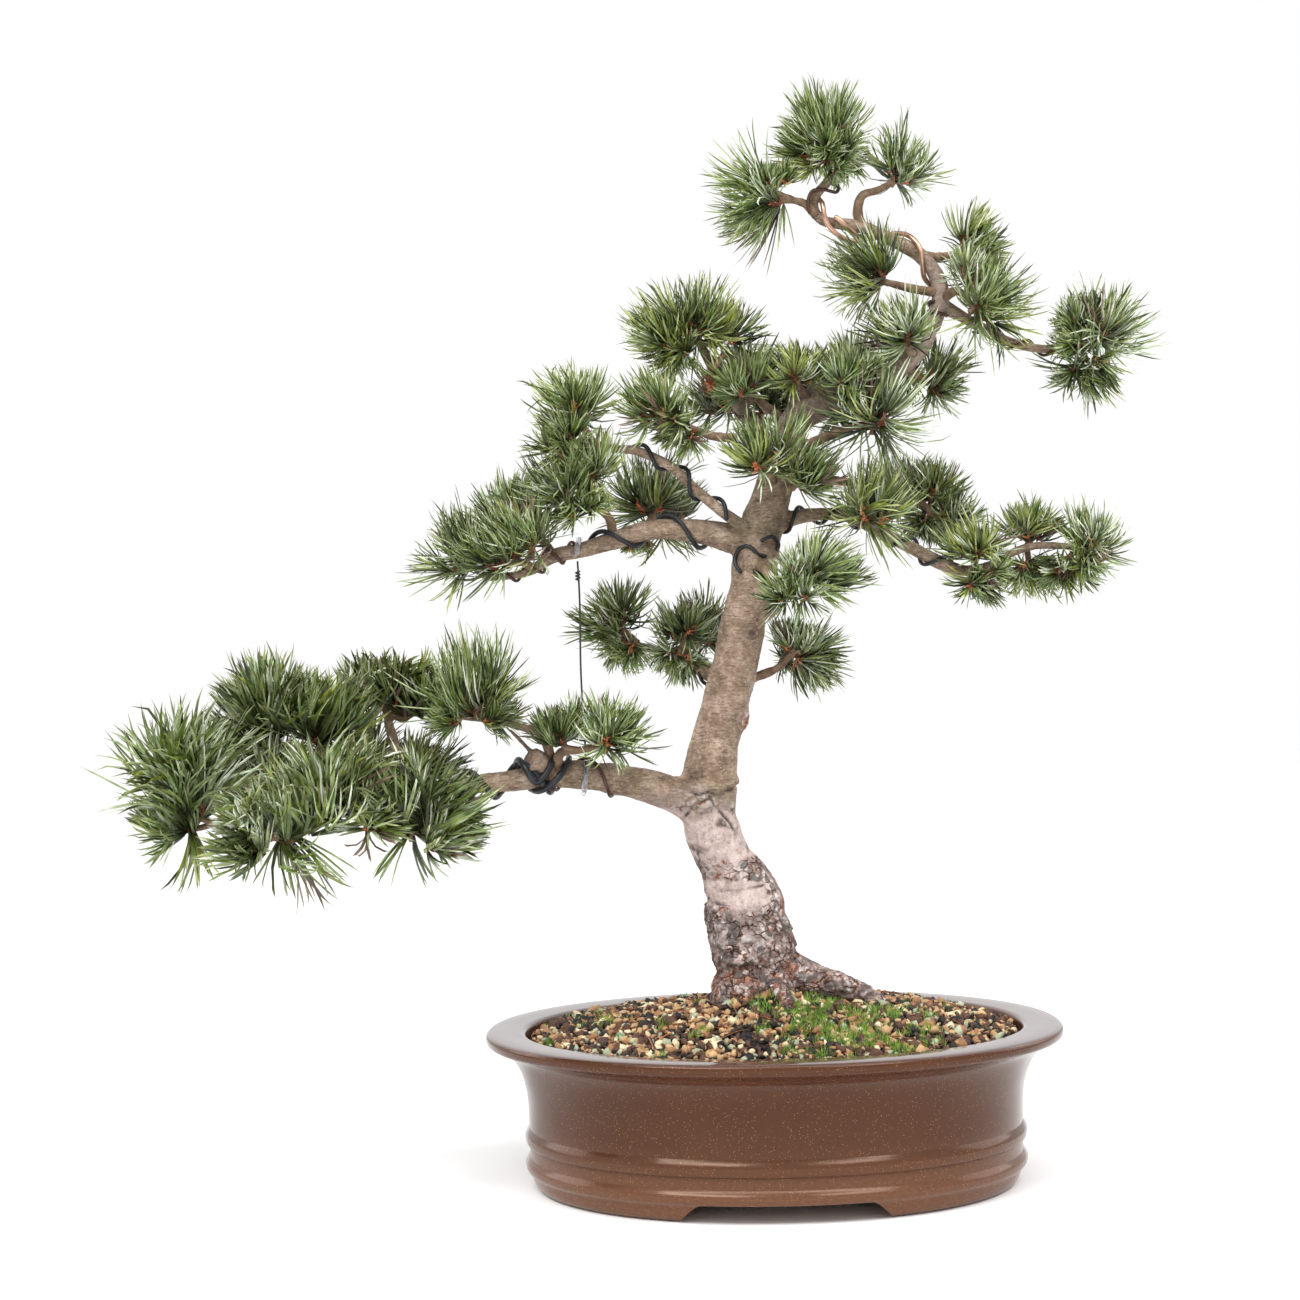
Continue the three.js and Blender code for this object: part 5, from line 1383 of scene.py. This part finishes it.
# Loose ends of wire: radius, metal and places [x, z, depth].
LOOPS = {
    "wire_stub_left": (2.2, "black", [
        [-176, 291, -32], [-173, 296, -45], [-168, 289, -55], [-162, 280, -52], [-155, 285, -48],
        [-150, 294, -45], [-147, 299, -38]]),
    "wire_stub_right": (2.2, "black", [
        [-138, 297, -32], [-139, 294, -40], [-145, 284, -48], [-152, 277.5, -48], [-160, 274, -42],
        [-166, 276, -34]]),
    "wire_swing": (1.7, "copper", [
        [43, 684, -2], [47, 679, -12], [48.4, 670, -14], [51.4, 663, -12], [59.4, 655.5, -9],
        [67.4, 652.5, -6], [74.6, 653.2, -2], [80, 657, 2]]),
    "wire_apex": (1.2, "brown", [
        [38, 672, -15], [37, 678, -15], [37.6, 683.5, -15], [40.4, 688, -15], [47.8, 688.8, -15],
        [56.9, 686.8, -12], [58.4, 690, -9], [53.4, 693, -6]]),
}
# Wires that cross the trunk's front under the fork of the upper boughs: radius and places [x, z].
TRUNK_WIRES = {
    "wire_arch": (1.4, [[-15.4, 423], [-19.2, 429], [-19.2, 434.4], [-16, 439.8], [-11.4, 441.5],
                        [-6.8, 439.4], [-3.5, 435.7], [2.7, 433.7]]),
    "wire_cross_low": (1.5, [[-7, 424], [-2.6, 421.6], [2.3, 416.5], [9, 409.8]]),
    "wire_hook": (1.3, [[-1.2, 444.8], [2.5, 446.6], [6.6, 447.6], [9.8, 445.7], [11.3, 442], [10.3, 438]]),
}


def build_wires():
    metals = {
        "black": (metal("wire_black", (44, 46, 50), 0.42, 0.35), "black_wire"),
        "copper": (metal("wire_copper", (216, 172, 148), 0.32, 0.85), "copper_wire"),
        "brown": (metal("wire_brown", (92, 66, 54), 0.45, 0.6), "copper_wire"),
    }
    for name, (*course, kind) in COILS.items():
        replaced = [name.removeprefix("fine_")] if name.startswith("fine_") else []
        wire_piece(name, coil(*course), course[5], *metals[kind], replaced)
    for name, (radius, kind, places) in LOOPS.items():
        wire_piece(name, np.array([seen(*p) for p in places]), radius, *metals[kind])
    for name, (radius, places) in TRUNK_WIRES.items():
        wire_piece(name, on_trunk(places, radius), radius, *metals["black"])


GUY_TOP, GUY_LOW = (-130, -12), (-126.5, -28)  # x and depth of the line's ends, as seen
GUY_LEVEL = 400  # between the two boughs
GUY_RADIUS, KNOT_RADIUS, TUBE_RADIUS = 0.65, 0.6, 1.9
TUBE_GAP = 2.6  # from the bough's bark to the middle of the tube


def build_guy():
    """The thin line from bough to bough, its knot and the two rings of clear tube."""
    def nearest(name, x, depth):
        line = LINES[name]
        return line[np.abs(line[:, 0] - seen(x, GUY_LEVEL, depth)[0]).argmin()]

    high, low = nearest("bough_left", *GUY_TOP), nearest("bough_low", *GUY_LOW)
    start = high[:3] + [0, 0, -high[3] - 1.5]
    end = low[:3] + [0, -low[3] - TUBE_GAP, 1]
    line = np.array([start + (end - start) * t + [0.5 * math.sin(t * 9), 0, 0] for t in np.linspace(0, 1, 9)])
    black = metal("guy_black", (26, 24, 26), 0.6, 0.0)
    wire_piece("guy_line_fine", line, GUY_RADIUS, black, replaced=["guy_line"])
    knot = [start + [1.4 * math.cos(a), 1.4 * math.sin(a), -7 - a * 0.35] for a in np.linspace(0, 18, 40)]
    wire_piece("guy_knot", np.array(knot), KNOT_RADIUS, metal("guy_knot", (52, 34, 32), 0.6, 0.0))
    clear = Paint("clear_tube", 0.12, Transmission_Weight=0.85, IOR=1.46)
    tone = clear.noise(260, 2)
    clear.colour(clear.ramp(tone, (0.3, (214, 216, 222)), (0.7, (240, 242, 246))))
    clear.rough(clear.range(tone, 0.3, 0.7, 0.08, 0.2))
    for name, at, first, last in (("tube_high", high, -0.5, math.pi + 0.5),
                                  ("tube_low", low, math.pi - 0.6, 2 * math.pi + 0.9)):
        reach = at[3] + TUBE_GAP
        arc = [at[:3] + [1.6 * math.sin(a), -reach * math.cos(a), reach * math.sin(a)]
               for a in np.linspace(first, last, 30)]
        wire_piece(name, np.array(arc), TUBE_RADIUS, clear.material)


# Floor, light and camera.

# Lights: place, what they look at, size and power.
LIGHTS = {
    "key": ((-0.9, -1.5, 2.1), (0, 0, 0.3), (1.3, 0.5), 26),
    "fill": ((0.95, -1.5, 2.1), (0, 0, 0.35), (1.0, 0.5), 14),
    "top": ((0.0, -0.9, 2.1), (0, 0, 0.2), (2.6, 0.22), 22),
    "left_side": ((-1.5, 0.4, 0.9), (-0.1, 0, 0.1), (1.0, 0.8), 6),
    "right_side": ((1.5, 0.4, 0.9), (0.1, 0, 0.1), (1.0, 0.8), 5),
}
FLOOR_RADIUS = 6  # metres


def build_floor():
    floor = bpy.data.meshes.new("floor")
    turns = np.linspace(0, 2 * math.pi, 96, endpoint=False)
    edge = [(FLOOR_RADIUS * math.cos(a), FLOOR_RADIUS * math.sin(a), 0.0) for a in turns]
    floor.from_pydata(edge, [], [list(range(len(turns)))])
    whites = ((253, 253, 253), (255, 255, 255))
    floor.materials.append(mottled("floor_white", 3, whites, 0.85, 0, 0.02))
    placed("floor", floor)


def build_lights():
    world = bpy.data.worlds.new("studio")
    bpy.context.scene.world = world
    world.use_nodes = True
    world.node_tree.nodes["Background"].inputs["Color"].default_value = (1, 1, 1, 1)
    world.node_tree.nodes["Background"].inputs["Strength"].default_value = 1.0
    for name, (place, target, sizes, energy) in LIGHTS.items():
        light = bpy.data.lights.new(name, "AREA")
        light.shape = "RECTANGLE"
        light.size, light.size_y = sizes
        light.energy = energy
        lamp = placed(name, light)
        lamp.location = np.array(place) + SHIFT * 0.001
        way = np.array(target) - np.array(place)
        tilt = math.atan2(math.hypot(way[0], way[1]), -way[2])
        lamp.rotation_euler = (tilt, 0, math.atan2(-way[0], way[1]))


def build_camera():
    view = bpy.data.cameras.new("camera")
    view.sensor_width = SENSOR
    view.lens = SENSOR * FOCAL_PX / IMAGE_PX
    view.clip_start, view.clip_end = 0.05, 50
    camera = placed("camera", view)
    camera.location = (EYE + SHIFT) * 0.001
    camera.rotation_euler = (math.pi / 2, ROLL, 0)
    bpy.context.scene.camera = camera
    bpy.context.scene.view_settings.view_transform = "Standard"


build_floor()
build_lights()
build_camera()
build_pot()
build_bed()
build_pebbles(RNG)
build_moss(RNG)
build_litter(RNG)
build_bark()
build_wires()
build_guy()
Foliage().build()
